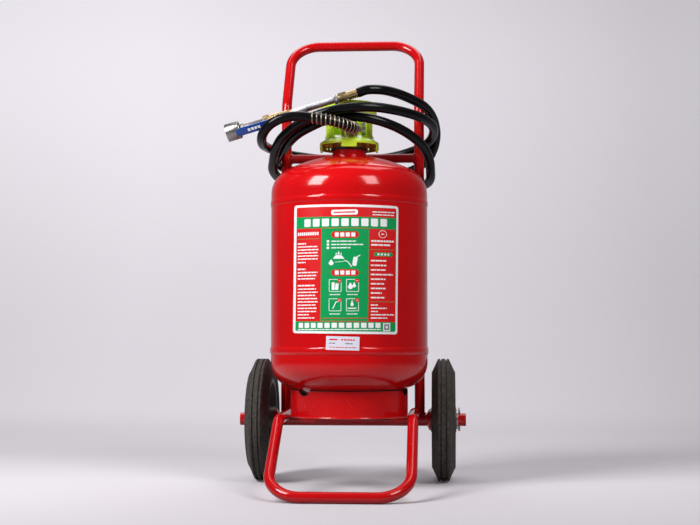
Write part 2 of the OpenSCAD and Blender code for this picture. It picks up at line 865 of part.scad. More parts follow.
module gauge_needle() {
    z = gauge_t - dial_set + inner_gap;
    color(black) at_tank() at_gauge() union() {
        disc(needle_pin_r, needle_t + 0.4, z);
        translate([-needle_l, -needle_w / 2, z]) cube([needle_l + 3, needle_w, needle_t]);
    }
}

module gauge_glass() {
    color([0.9, 0.95, 1, 0.3]) at_tank() at_gauge()
        disc(gauge_r - gauge_wall - push_gap, glass_t, gauge_t - glass_t);
}

// -- hose ----------------------------------------------------------------------------

module outlet_nut() {
    color(brass) at_tank() at_outlet() union() {
        hex_ring(outlet_nut_w, outlet_tail_r, outlet_nut_l - outlet_tail_gap, outlet_reach - outlet_nut_l);
        hex(outlet_nut_w - 3, outlet_tail_gap - push_gap, outlet_reach - outlet_tail_gap);
    }
}

module hose() {
    color(black) at_tank() swept(route, hose_r, hose_sides);
}

module hose_spring() {
    color("tan") at_tank() swept(spring_path, spring_wire_d / 2, spring_sides);
}

// -- lance ---------------------------------------------------------------------------

// Puts the children on the lance, with Z along it to the nozzle and -Y on the lever's side
module at_lance() {
    at_tank() translate(lance_p) rotate([0, -lance_slope - 90, 0]) rotate([0, 0, -lever_lean]) children();
}

// A round piece of the lance, bored through
module lance_piece(r, l, s) {
    ring(r, lance_bore_r, l, s);
}

module hose_tail() {
    color(brass) at_lance() union() {
        lance_piece(tail_r, tail_l - push_gap, push_gap);
        lance_piece(tail_neck_r, tail_neck_l, tail_l);
    }
}

module lance_nut() {
    color(brass) at_lance() hex_ring(lance_nut_w, lance_bore_r, lance_nut_l, lance_nut_s);
}

module union_nut() {
    color(chrome) at_lance() lance_piece(union_r, union_l, union_s);
}

module lance_tube() {
    color(chrome) at_lance() lance_piece(lance_tube_d / 2, lance_tube_l, tube_s);
}

// Puts the children at the ball, with Z along the stem
module at_stem() {
    at_lance() translate([0, 0, ball_s]) rotate([90, 0, 0]) children();
}

module ball_valve_body() {
    groove_s = ball_body_s + 11;
    end_s = ball_body_s + ball_body_l;
    color(brass) difference() {
        union() {
            at_lance() rotate_extrude($fn = 96) polygon([
                [lance_bore_r, ball_body_s], [ball_body_r - 0.9, ball_body_s],
                [ball_body_r - 0.9, groove_s], [ball_body_r - 1.8, groove_s + 0.5],
                [ball_body_r - 1.8, groove_s + 1.5], [ball_body_r, groove_s + 2],
                [ball_body_r, end_s - 1], [ball_body_r - 1, end_s], [ball_neck_r, end_s],
                [ball_neck_r, end_s + ball_neck_l], [lance_bore_r, end_s + ball_neck_l]
            ]);
            at_stem() disc(boss_r, boss_h - ball_r, ball_r);
        }
        at_lance() translate([0, 0, ball_s]) sphere(r = ball_r + inner_gap, $fn = 64);
        at_stem() disc(stem_r + stem_play, boss_h, stem_r);
    }
}

module valve_ball() {
    color(steel) difference() {
        union() {
            at_lance() translate([0, 0, ball_s]) sphere(r = ball_r, $fn = 64);
            at_stem() disc(stem_r, strap_h + strap_t + lever_nut_h + 2);
            at_stem() disc(shoulder_r, strap_h - shoulder_h, shoulder_h);
        }
        at_lance() disc(lance_bore_r, 2 * ball_d, ball_s - ball_d);
    }
}

module lever_strap() {
    color(steel) at_stem() difference() {
        union() {
            disc(strap_eye_r, strap_t, strap_h);
            translate([-strap_w / 2, 0, strap_h]) cube([strap_w, lever_l - strap_w / 2 - 2, strap_t]);
            translate([0, lever_l - strap_w / 2 - 2, 0]) disc(strap_w / 2, strap_t, strap_h);
        }
        disc(stem_r, strap_t + 2 * cut, strap_h - cut);
    }
}

module lever_sleeve() {
    low = strap_h + strap_t / 2 - sleeve_t / 2;
    end = lever_l - lever_w / 2;
    start = lever_l - sleeve_l;
    color("royalblue") at_stem() difference() {
        union() {
            translate([-lever_w / 2, start, low]) cube([lever_w, end - start, sleeve_t]);
            translate([0, end, 0]) disc(lever_w / 2, sleeve_t, low);
        }
        translate([-strap_w / 2, start - cut, strap_h])
            cube([strap_w, lever_l - strap_w / 2 - 2 - start + cut, strap_t]);
        translate([0, lever_l - strap_w / 2 - 2, 0]) disc(strap_w / 2, strap_t, strap_h);
    }
}

module lever_nut() {
    color(steel) at_stem() hex_ring(lever_nut_w, stem_r, lever_nut_h, strap_h + strap_t);
}

module nozzle_hex() {
    color(brass) at_lance() hex_ring(hex_w, lance_bore_r, hex_l, hex_s);
}

module outlet_pipe() {
    color(steel) at_lance() union() {
        lance_piece(pipe_r, pipe_l, pipe_s);
        lance_piece(pipe_collar_r, pipe_collar_l, pipe_s + pipe_l - pipe_collar_l);
    }
}

module nozzle_head() {
    bevel = 2;
    mouth_z = nozzle_s + nozzle_l - nozzle_mouth_l;
    color(steel) at_lance() difference() {
        translate([0, 0, nozzle_s]) rotate_extrude($fn = 96) polygon([
            [lance_bore_r, 0], [nozzle_r - bevel, 0], [nozzle_r, bevel],
            [nozzle_r, nozzle_l], [lance_bore_r, nozzle_l]
        ]);
        disc(nozzle_mouth_r, nozzle_mouth_l + cut, mouth_z);
    }
}

// -- frame -----------------------------------------------------------------------------

module bent_tube(path, bend_rs) {
    difference() {
        bent_bar(path, bend_rs, tube_r);
        bent_bar(path, bend_rs, tube_bore_r);
    }
}

module axle_bar(r) {
    rod([-axle_end_x, axle_y, axle_z], [axle_end_x, axle_y, axle_z], r);
}

module handle_frame() {
    path = [
        [-upright_x, axle_y, axle_z], [-upright_x, axle_y, handle_bend_z], [-upright_x, handle_y, handle_z],
        [upright_x, handle_y, handle_z], [upright_x, axle_y, handle_bend_z], [upright_x, axle_y, axle_z]
    ];
    color(tank_red) difference() {
        bent_tube(path, [0, handle_bend_r, handle_bend_r, handle_bend_r, handle_bend_r, 0]);
        axle_bar(axle_r);
    }
}

module cross_bar() {
    ends = [-upright_x, upright_x];
    color(tank_red) difference() {
        rod([ends[0], axle_y, cross_bar_z], [ends[1], axle_y, cross_bar_z], cross_bar_d / 2);
        rod([ends[0], axle_y, cross_bar_z], [ends[1], axle_y, cross_bar_z], cross_bar_d / 2 - tube_wall);
        for (x = ends)
            rod([x, axle_y, cross_bar_z - 2 * tube_d], [x, axle_y, cross_bar_z + 2 * tube_d], tube_r);
    }
}

// Pads that fill the gap between the tank and each upright
module tank_brackets() {
    reach = norm([upright_x, axle_back]);
    turn = atan2(upright_x, -axle_back);
    color(tank_red) at_tank() difference() {
        both_sides()
            for (z = bracket_zs)
                rotate([0, 0, turn])
                    translate([-bracket_w / 2, -reach, z]) cube([bracket_w, reach - tank_r + 10, bracket_h]);
        disc(tank_r, crown_z, 0);
        both_sides() translate([upright_x, axle_back, 0]) disc(tube_r, crown_z, 0);
    }
}

module foot_loop() {
    start_y = axle_y - tube_r - weld_gap;
    turn_y = tank_y - rail_reach;
    foot_z = tube_r;
    path = [
        [-rail_x, start_y, rail_z], [-rail_x, turn_y, rail_z], [-rail_x, foot_y, foot_z],
        [rail_x, foot_y, foot_z], [rail_x, turn_y, rail_z], [rail_x, start_y, rail_z]
    ];
    color(tank_red) difference() {
        bent_tube(path, [0, rail_bend_r, foot_bend_r, foot_bend_r, rail_bend_r, 0]);
        axle_bar(axle_r);
    }
}

module axle() {
    hole_r = split_pin_d / 2 + 0.1;
    color(tank_red) difference() {
        axle_bar(axle_r);
        for (x = [-pin_x, pin_x])
            rod([x, axle_y, axle_z - 2 * axle_r], [x, axle_y, axle_z + 2 * axle_r], hole_r);
    }
}

module axle_collars() {
    flare = 8.5;
    color(tank_red)
        for (side = [-1, 1])
            along_axle(side) rotate_extrude($fn = 96) polygon([
                [axle_r, collar_in_x], [axle_r + 2, collar_in_x], [axle_r + flare, collar_out_x - 3],
                [axle_r + flare, collar_out_x], [axle_r, collar_out_x]
            ]);
}

// -- wheels ----------------------------------------------------------------------------

module tyre(side) {
    half = tyre_w / 2;
    bead_w = rim_w / 2;
    crown = crown_w / 2;
    step_r = rim_r + 15;
    // where each groove round the crown starts and ends, and how deep it is
    groove_in = 2.6;
    groove_out = 4.2;
    groove_r = wheel_r - 1.2;
    color(black) along_axle(side) translate([0, 0, wheel_x]) rotate_extrude($fn = 180) polygon([
        [rim_r, -bead_w], [rim_r + 4, -half + 0.8], [step_r, -half], [step_r + 1, -half + 1.8],
        [step_r + 3, -half + 2.2], [wheel_r - 1.2, -crown - 0.6], [wheel_r, -crown + 0.6],
        [wheel_r, -groove_out], [groove_r, -groove_out + 0.3], [groove_r, -groove_in - 0.3],
        [wheel_r, -groove_in], [wheel_r, groove_in], [groove_r, groove_in + 0.3],
        [groove_r, groove_out - 0.3], [wheel_r, groove_out],
        [wheel_r, crown - 0.6], [wheel_r - 1.2, crown + 0.6], [step_r + 3, half - 2.2],
        [step_r + 1, half - 1.8], [step_r, half], [rim_r + 4, half - 0.8], [rim_r, bead_w]
    ]);
}

module hub(side) {
    half_rim = rim_w / 2;
    half_web = web_w / 2;
    ridge_r = (hub_boss_r + rim_r - rim_wall) / 2;
    half_hub = hub_l / 2;
    color(hub_grey) along_axle(side) translate([0, 0, wheel_x]) rotate_extrude($fn = 180) polygon([
        [bush_r, -half_hub], [hub_boss_r - 2, -half_hub], [hub_boss_r, -half_web - 3],
        [hub_boss_r + 3, -half_web], [rim_r - rim_wall - 3, -half_web], [rim_r - rim_wall, -half_rim],
        [rim_r, -half_rim], [rim_r, half_rim], [rim_r - rim_wall, half_rim],
        [rim_r - rim_wall - 3, half_web], [ridge_r + 5, half_web], [ridge_r + 3, half_web + 3],
        [ridge_r - 3, half_web + 3], [ridge_r - 5, half_web], [hub_boss_r + 3, half_web],
        [hub_boss_r, half_web + 3], [hub_boss_r - 2, half_hub], [bush_r, half_hub]
    ]);
}

module bush(side) {
    color("ivory") along_axle(side) ring(bush_r, axle_r + axle_play, hub_l, hub_in_x);
}

module axle_washers() {
    color(steel)
        for (side = [-1, 1])
            along_axle(side) ring(washer_r, axle_r + push_gap, washer_t, hub_out_x + hub_play);
}

// Split pins through the ends of the axle, each with its eye on top
module split_pins() {
    eye_r = 4;
    wire_r = split_pin_d / 2;
    eye_z = axle_z + axle_r + eye_r + wire_r;
    color(steel)
        for (x = [-pin_x, pin_x]) {
            rod([x, axle_y, axle_z - split_pin_l], [x, axle_y, eye_z - eye_r], wire_r);
            translate([x, axle_y, eye_z]) rotate([0, 90, 0])
                rotate_extrude($fn = 48) translate([eye_r, 0]) circle(r = wire_r * 0.8, $fn = 24);
        }
}

// -- the whole ---------------------------------------------------------------------------

tank_shell();
top_head();
bottom_head();
foot_ring();
neck_collar();
neck_gasket();
front_label();
small_sticker();
valve_body();
valve_guard();
guard_nut();
bonnet();
gland_nut();
valve_plug();
spindle();
handwheel();
handwheel_nut();
dip_tube();
gauge_case();
gauge_dial();
gauge_needle();
gauge_glass();
outlet_nut();
hose_spring();
hose();
hose_tail();
lance_nut();
union_nut();
lance_tube();
ball_valve_body();
valve_ball();
lever_strap();
lever_sleeve();
lever_nut();
nozzle_hex();
outlet_pipe();
nozzle_head();
handle_frame();
cross_bar();
tank_brackets();
foot_loop();
axle();
axle_collars();
tyre(-1);  // tyre_left
tyre(1);  // tyre_right
hub(-1);  // hub_left
hub(1);  // hub_right
bush(-1);  // bush_left
bush(1);  // bush_right
axle_washers();
split_pins();
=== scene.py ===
import math

import bmesh
import bpy
from mathutils import Matrix, Vector


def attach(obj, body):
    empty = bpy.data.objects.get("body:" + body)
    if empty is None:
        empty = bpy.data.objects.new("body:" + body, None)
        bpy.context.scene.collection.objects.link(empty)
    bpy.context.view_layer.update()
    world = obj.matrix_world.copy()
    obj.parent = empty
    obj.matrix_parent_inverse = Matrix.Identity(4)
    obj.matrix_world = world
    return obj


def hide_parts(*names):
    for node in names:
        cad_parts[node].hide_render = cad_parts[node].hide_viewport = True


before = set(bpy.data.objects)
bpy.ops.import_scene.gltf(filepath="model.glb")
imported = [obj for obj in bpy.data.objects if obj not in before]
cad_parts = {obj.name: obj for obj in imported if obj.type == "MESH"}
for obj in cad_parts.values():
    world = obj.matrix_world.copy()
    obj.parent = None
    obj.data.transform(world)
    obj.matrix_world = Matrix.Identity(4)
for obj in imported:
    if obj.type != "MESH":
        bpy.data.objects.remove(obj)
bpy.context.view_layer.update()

# -- camera ----------------------------------------------------------------------
# A long lens, low down and a little to the right of the extinguisher's front, and far enough
# away for its upright lines to stay nearly upright.
tank_axis = Vector((0, 0.035, 0))
camera_turn = math.radians(3.9)
camera_away = 2.6
camera_height = 0.285
camera_tilt = math.radians(3.11)
camera_swing = math.radians(0.03)
camera_data = bpy.data.cameras.new("camera")
camera_data.lens = 69.6
camera_data.clip_start = 0.05
camera = bpy.data.objects.new("camera", camera_data)
camera.location = tank_axis + Vector(
    (camera_away * math.sin(camera_turn), -camera_away * math.cos(camera_turn), camera_height)
)
camera.rotation_euler = (math.radians(90) + camera_tilt, 0, camera_turn - camera_swing)
bpy.context.scene.collection.objects.link(camera)
bpy.context.scene.camera = camera

# -- hose ------------------------------------------------------------------------
# A stiff black rubber hose with a smooth skin. One end is pressed into the outlet nut and
# the other is crimped in the lance's brass ferrule, and it is wound three times round the
# two uprights over the shoulders of the tank. Its route is in millimetres from the tank's axis.
hose_r = 0.00925
hose_route = [
    (9, -36, 677), (14, -56, 677), (14, -71, 675), (7, -86, 676), (-7, -98, 680),
    (-30, -106, 685), (-60, -109, 690), (-90, -110, 693), (-115, -110, 690), (-135, -107, 682),
    (-149, -99, 672), (-158, -84, 662), (-162, -64, 656), (-164, -40, 653), (-165, -12, 653),
    (-164, 16, 654), (-162, 46, 655), (-158, 74, 656), (-155, 100, 656),
    (-149, 125, 656), (-132, 145, 655), (-105, 157, 652), (-70, 163, 648), (-30, 166, 645),
    (10, 166, 645), (50, 160, 647), (88, 150, 652), (117, 139, 659), (141, 126, 667),
    (156, 104, 677),
    (162, 78, 687), (161, 50, 695), (152, 22, 701), (137, -8, 705), (113, -36, 709),
    (84, -60, 712), (53, -76, 714), (22, -85, 713), (-8, -89, 710), (-36, -88, 704),
    (-62, -82, 696), (-87, -72, 686), (-109, -56, 675), (-127, -36, 663), (-139, -11, 652),
    (-147, 15, 640), (-153, 44, 628), (-158, 73, 618), (-157, 100, 611),
    (-152, 126, 606), (-136, 148, 600), (-108, 164, 594), (-72, 173, 590), (-32, 176, 588),
    (10, 176, 587), (52, 172, 586), (92, 163, 585), (124, 149, 587), (146, 129, 591),
    (155, 104, 598),
    (156, 76, 611), (154, 48, 629), (146, 22, 646), (133, -4, 659), (115, -28, 670),
    (93, -47, 680), (66, -60, 689), (37, -68, 695), (8, -70, 698), (-20, -69, 696),
    (-46, -65, 690), (-70, -57, 681), (-92, -43, 672), (-109, -22, 663), (-122, 4, 655),
    (-134, 34, 647), (-146, 68, 640), (-154, 100, 634),
    (-149, 126, 630), (-134, 148, 625), (-108, 166, 620), (-72, 178, 615), (-32, 184, 613),
    (10, 185, 612), (52, 182, 613), (92, 174, 617), (126, 161, 627), (150, 146, 644),
    (162, 134, 664),
    (167, 118, 687), (165, 94, 706), (159, 66, 719), (149, 38, 729), (134, 10, 736),
    (114, -15, 742), (92, -38, 747), (68, -55, 750), (40, -66, 749), (20, -66, 743),
]
hose_points = [tank_axis + Vector(p) / 1000 for p in hose_route]


def smoothed(points, parts):
    """Points of a smooth line through the given ones."""
    ends = [2 * points[0] - points[1], *points, 2 * points[-1] - points[-2]]
    line = []
    for a, b, c, d in zip(ends, ends[1:], ends[2:], ends[3:]):
        for k in range(parts):
            t = k / parts
            bow = (2 * a - 5 * b + 4 * c - d) * t**2 + (3 * b - a - 3 * c + d) * t**3
            line.append(0.5 * (2 * b + (c - a) * t + bow))
    return [*line, points[-1]]


def tube_along(name, points, radius, sides):
    """A round wire or hose along a line, closed at both ends."""
    data = bpy.data.curves.new(name, "CURVE")
    data.dimensions = "3D"
    data.bevel_depth = 1
    data.bevel_resolution = sides // 2
    data.use_fill_caps = True
    spline = data.splines.new("POLY")
    spline.points.add(len(points) - 1)
    for point, place in zip(spline.points, points):
        point.co = (*place, 1)
        point.radius = radius
    spline.use_smooth = True
    piece = bpy.data.objects.new(name, data)
    bpy.context.scene.collection.objects.link(piece)
    return piece


def add(tree, kind, inputs, **settings):
    """Adds a shader node with its settings, and sets or links its inputs."""
    node = tree.nodes.new("ShaderNode" + kind)
    for name, value in settings.items():
        setattr(node, name, value)
    for name, value in inputs.items():
        if isinstance(value, bpy.types.NodeSocket):
            tree.links.new(value, node.inputs[name])
        else:
            node.inputs[name].default_value = value
    return node


def effect(name, inputs, outputs):
    """A shader group with named inputs and outputs, and its two end nodes."""
    tree = bpy.data.node_groups.new(name, "ShaderNodeTree")
    for label, kind in inputs.items():
        tree.interface.new_socket(name=label, in_out="INPUT", socket_type="NodeSocket" + kind)
    for label in outputs:
        tree.interface.new_socket(name=label, in_out="OUTPUT", socket_type="NodeSocketFloat")
    return tree, tree.nodes.new("NodeGroupInput").outputs, tree.nodes.new("NodeGroupOutput").inputs


def ramped(tree, value, low, high):
    """A value stretched so that low becomes 0 and high becomes 1."""
    return add(tree, "MapRange", {"Value": value, "From Min": low, "From Max": high}).outputs["Result"]


def mixed(tree, part, first, second):
    """One colour passing into another, each of them a colour or a link."""
    return add(tree, "Mix", {0: part, 6: first, 7: second}, data_type="RGBA").outputs[2]


# Grain of a surface: its fine relief, its slow change of tone, and the specks of dust on it
grain, grain_in, grain_out = effect(
    "grain", {"Vector": "Vector", "Fine": "Float", "Broad": "Float", "Dust": "Float"},
    ["Relief", "Tone", "Specks"],
)


def grain_noise(scale, detail, roughness=0.5):
    """A noise of the grain, at the scale that one of its inputs gives."""
    noise = {"Vector": grain_in["Vector"], "Scale": grain_in[scale], "Detail": detail, "Roughness": roughness}
    return add(grain, "TexNoise", noise).outputs["Fac"]


grain.links.new(grain_noise("Fine", 3.0), grain_out["Relief"])
grain.links.new(ramped(grain, grain_noise("Broad", 5.0), 0.32, 0.68), grain_out["Tone"])
grain.links.new(ramped(grain, grain_noise("Dust", 6.0, 0.7), 0.62, 0.74), grain_out["Specks"])


def finish(
    name, colour, shade, rough, fine, broad, bump, metal=0.0, coat=0.0, dust=300.0,
    dust_colour=None, specular=0.5,
):
    """A material that drifts from a colour to its shade, with a fine relief and specks of dust."""
    material = bpy.data.materials.new(name)
    material.use_nodes = True
    tree = material.node_tree
    shader = tree.nodes["Principled BSDF"]
    place = add(tree, "TexCoord", {}).outputs["Object"]
    scales = {"Vector": place, "Fine": fine, "Broad": broad, "Dust": dust}
    look = add(tree, "Group", scales, node_tree=grain).outputs
    tone = mixed(tree, look["Tone"], (*colour, 1), (*shade, 1))
    if dust_colour:
        tone = mixed(tree, look["Specks"], tone, (*dust_colour, 1))
    polish = add(tree, "MapRange", {"Value": look["Tone"], "To Min": rough[0], "To Max": rough[1]})
    relief = add(tree, "Bump", {"Height": look["Relief"], "Strength": bump[0], "Distance": bump[1]})
    tree.links.new(tone, shader.inputs["Base Color"])
    tree.links.new(polish.outputs["Result"], shader.inputs["Roughness"])
    tree.links.new(relief.outputs["Normal"], shader.inputs["Normal"])
    shader.inputs["Metallic"].default_value = metal
    shader.inputs["Coat Weight"].default_value = coat
    shader.inputs["Coat Roughness"].default_value = 0.06
    shader.inputs["Specular IOR Level"].default_value = specular
    return material


hose_rubber = finish(
    "hose_rubber", (0.003, 0.003, 0.0035), (0.005, 0.005, 0.0055), (0.11, 0.19), 1500.0, 30.0,
    (0.08, 0.0003), dust=700.0, dust_colour=(0.012, 0.011, 0.010), specular=0.15,
)
hose_line = smoothed(hose_points, 6)
hose = tube_along("hose_rubber", hose_line, hose_r, 20)
hose.data.materials.append(hose_rubber)
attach(hose, "unit")
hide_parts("hose")

# -- hose spring -------------------------------------------------------------------
# A spring of round steel wire, slid over the hose before its nut and closed up against it,
# so its turns open out away from the valve. It keeps the hose from kinking.
wire_r = 0.0011
spring_gap = 0.0001
spring_start = 0.0025
spring_l = 0.131
spring_turns = 18
spring_opening = 0.22
ring_steps = 28
spring_steel = finish(
    "spring_steel", (0.52, 0.43, 0.34), (0.30, 0.24, 0.18), (0.28, 0.5), 900.0, 60.0,
    (0.15, 0.0002), metal=1.0, dust=500.0, dust_colour=(0.05, 0.035, 0.025),
)


def coil_round(line, radius, start, length, turns, steps):
    """Points of a helix round a line, whose turns open out towards its far end."""
    reached, at = 0.0, 0
    side = Vector((0, 0, 1))
    points = []
    for k in range(turns * steps + 1):
        part = k / (turns * steps)
        aim = start + ((1 - spring_opening) * part + spring_opening * part**2) * (length - start)
        while reached + (line[at + 1] - line[at]).length < aim:
            reached += (line[at + 1] - line[at]).length
            at += 1
        here = line[at].lerp(line[at + 1], (aim - reached) / (line[at + 1] - line[at]).length)
        along = (line[at + 1] - line[at]).lerp(line[at + 2] - line[at + 1], 0.5).normalized()
        side = (side - side.dot(along) * along).normalized()
        angle = 2 * math.pi * k / steps
        points.append(here + radius * (math.cos(angle) * side + math.sin(angle) * along.cross(side)))
    return points


spring_path = coil_round(
    hose_line, hose_r + spring_gap + wire_r, spring_start, spring_l, spring_turns, ring_steps
)
spring = tube_along("hose_spring_wire", spring_path, wire_r, 8)
spring.data.materials.append(spring_steel)
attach(spring, "unit")
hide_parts("hose_spring")

# -- lance tail --------------------------------------------------------------------
# A turned brass ferrule crimped over the end of the hose with three rings, then a brass
# hexagon, and a union nut of chromed brass with a finely knurled band.
lance_lean, lance_roll = math.radians(-106.699), math.radians(-25)
lance_start = tank_axis + Vector((0.020, -0.066, 0.743))
on_lance = (
    Matrix.Translation(lance_start) @ Matrix.Rotation(lance_lean, 4, "Y")
    @ Matrix.Rotation(lance_roll, 4, "Z") @ Matrix.Scale(0.001, 4)
)
brass = finish(
    "brass", (0.73, 0.54, 0.29), (0.55, 0.39, 0.19), (0.22, 0.38), 1100.0, 45.0, (0.14, 0.0002),
    metal=1.0, dust=420.0, dust_colour=(0.20, 0.12, 0.045),
)
chrome = finish(
    "chrome", (0.86, 0.86, 0.88), (0.70, 0.70, 0.73), (0.22, 0.36), 700.0, 40.0, (0.05, 0.0002),
    metal=1.0, dust=380.0, dust_colour=(0.22, 0.21, 0.20),
)


def turned(outline, steps=56):
    """A piece turned round Z, from its outline of radii and heights in millimetres."""
    work = bmesh.new()
    verts = [work.verts.new((r, 0, z)) for r, z in outline]
    edges = [work.edges.new(pair) for pair in zip(verts, verts[1:])]
    if outline[0][0]:
        edges.append(work.edges.new((verts[-1], verts[0])))
    bmesh.ops.spin(
        work, geom=verts + edges, axis=(0, 0, 1), cent=(0, 0, 0), steps=steps, angle=2 * math.pi,
        use_merge=True,
    )
    bmesh.ops.remove_doubles(work, verts=work.verts, dist=1e-4)
    bmesh.ops.recalc_face_normals(work, faces=work.faces)
    return work


def rounded(work, width):
    """Rounds off a piece's sharp edges."""
    sharp = [e for e in work.edges if len(e.link_faces) == 2 and e.calc_face_angle() > math.radians(30)]
    bmesh.ops.bevel(
        work, geom=sharp, offset=width, offset_type="OFFSET", segments=2, profile=0.5,
        affect="EDGES", clamp_overlap=True, material=-1,
    )
    return work


def hexagon(width, low, high):
    """A hexagon bar from one height to another in millimetres, with both its ends chamfered."""
    work = bmesh.new()
    middle = Matrix.Translation((0, 0, (low + high) / 2)) @ Matrix.Rotation(math.radians(30), 4, "Z")
    corner_r = width / math.sqrt(3)
    chamfer_r = 0.48 * width
    bmesh.ops.create_cone(
        work, cap_ends=True, segments=6, radius1=corner_r, radius2=corner_r, depth=high - low,
        matrix=middle,
    )
    for end, level in ((1, high), (-1, low)):
        for k in range(24):
            angle = math.radians(15 * k + 7.5)
            bmesh.ops.bisect_plane(
                work, geom=work.verts[:] + work.edges[:] + work.faces[:], clear_outer=True,
                plane_co=(chamfer_r * math.cos(angle), chamfer_r * math.sin(angle), level),
                plane_no=(0.5 * math.cos(angle), 0.5 * math.sin(angle), 0.87 * end),
            )
            bmesh.ops.holes_fill(work, edges=[e for e in work.edges if e.is_boundary])
    bmesh.ops.recalc_face_normals(work, faces=work.faces)
    return work


def odd_step(v, steps):
    """Whether a point of a turned piece lies on an odd step of its turning."""
    return round(math.atan2(v.co.y, v.co.x) / (2 * math.pi) * steps) % 2 == 1


def finished(name, work, place, material, body, slot, *nodes):
    """Puts a drawn piece in its place, smooth but for its sharp edges, and on its body."""
    bmesh.ops.transform(work, matrix=place, verts=work.verts)
    for edge in work.edges:
        edge.smooth = edge.calc_face_angle(0) < math.radians(35)
    for face in work.faces:
        face.smooth = True
    data = bpy.data.meshes.new(name)
    work.to_mesh(data)
    work.free()
    data.materials.append(material)
    piece = bpy.data.objects.new(name, data)
    bpy.context.scene.collection.objects.link(piece)
    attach(piece, body)
    if nodes:
        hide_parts(*nodes)
    return piece


ferrule = [(4.6, 0.05), (7.9, 0.05), (8.6, 0.9)]
for crimp in (4.5, 9.0, 13.5):
    ferrule += [(8.6, crimp - 1.2), (8.0, crimp - 0.6), (8.0, crimp + 0.6), (8.6, crimp + 1.2)]
ferrule += [(8.6, 18.2), (7.9, 19), (6, 19.2), (6, 20.95), (4.6, 20.95)]
tail = finished("hose_tail_ferrule", turned(ferrule), on_lance, brass, "unit", "brass", "hose_tail")
tail_hex = finished(
    "lance_hexagon", rounded(hexagon(18, 21, 37.48), 0.25), on_lance, brass, "unit", "brass", "lance_nut"
)
knurl_steps, knurl_low, knurl_high = 96, 39.9, 44.4
union = turned([
    (4.6, 37.52), (7.6, 37.52), (8.6, 38.4), (8.6, 39.6), (8.2, knurl_low), (8.2, knurl_high),
    (8.6, 44.7), (8.6, 46.2), (7.8, 46.98), (4.6, 46.98),
], knurl_steps)
for v in union.verts:
    if knurl_low - 0.1 < v.co.z < knurl_high + 0.1 and v.co.xy.length > 8 and odd_step(v, knurl_steps):
        v.co.xy *= 1.035
union_piece = finished("union_ring", union, on_lance, chrome, "unit", "chrome", "union_nut")

# -- lance tube and ball valve -------------------------------------------------------
# A straight chromed tube screwed into a ball valve of turned brass, with a steel ball and
# its stem inside, and a brass hexagon nipple screwed in on the far side.
steel = finish(
    "steel", (0.50, 0.49, 0.47), (0.36, 0.35, 0.33), (0.24, 0.4), 900.0, 35.0, (0.14, 0.0002),
    metal=1.0, dust=360.0, dust_colour=(0.14, 0.12, 0.10),
)


def dress(material, *nodes):
    """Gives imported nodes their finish."""
    for node in nodes:
        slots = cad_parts[node].data.materials
        slots.clear()
        slots.append(material)


def softened(node, width):
    """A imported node's own shape with its sharp edges rounded off."""
    work = bmesh.new()
    work.from_mesh(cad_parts[node].data)
    bmesh.ops.remove_doubles(work, verts=work.verts, dist=1e-6)
    bmesh.ops.dissolve_limit(work, angle_limit=math.radians(0.5), verts=work.verts, edges=work.edges)
    return rounded(work, width)


here = Matrix.Identity(4)
dress(chrome, "lance_tube")
dress(brass, "ball_valve_body")
dress(steel, "valve_ball")
tube_end = finished(
    "lance_tube_band", turned([
        (6.35, 128), (7.2, 128.2), (7.2, 136), (6.9, 136.9), (6.35, 136.9)
    ]), on_lance, brass, "unit", "brass",
)
nipple = finished(
    "nipple_hexagon", rounded(hexagon(21, 173.02, 184.98), 0.25), on_lance, brass, "unit", "brass",
    "nozzle_hex",
)

# -- ball valve lever ----------------------------------------------------------------
# A flat strap of zinc plated steel on the stem, held by a nut, with a dipped sleeve of blue
# vinyl on its free end.
stem_at = 154
on_stem = on_lance @ Matrix.Translation((0, 0, stem_at)) @ Matrix.Rotation(math.radians(90), 4, "X")
blue_vinyl = finish(
    "blue_vinyl", (0.001, 0.036, 0.24), (0.001, 0.028, 0.19), (0.18, 0.28), 420.0, 22.0,
    (0.06, 0.0004), coat=0.3,
)
print_white = finish(
    "print_white", (0.75, 0.75, 0.75), (0.62, 0.62, 0.63), (0.35, 0.5), 420.0, 22.0, (0.06, 0.0004)
)
strap = finished(
    "lever_strap_plate", softened("lever_strap", 0.00035), here, steel, "lance_lever", "steel",
    "lever_strap",
)
sleeve = finished(
    "lever_sleeve_vinyl", softened("lever_sleeve", 0.001), here, blue_vinyl, "lance_lever",
    "blue_vinyl", "lever_sleeve",
)
stem_nut = finished(
    "lever_nut_hexagon", rounded(hexagon(10, 20.72, 24.7), 0.2), on_stem, steel, "lance_lever",
    "steel", "lever_nut",
)
mark_size, sleeve_top = (5.2, 5, 0.06), 21.93
marks = bmesh.new()
for along in (41, 47.5, 54, 60.5):
    block = Matrix.Translation((0, along, sleeve_top)) @ Matrix.Diagonal((*mark_size, 1))
    bmesh.ops.create_cube(marks, size=1, matrix=block)
sleeve_marks = finished("lever_sleeve_marks", marks, on_stem, print_white, "lance_lever", "blue_vinyl")

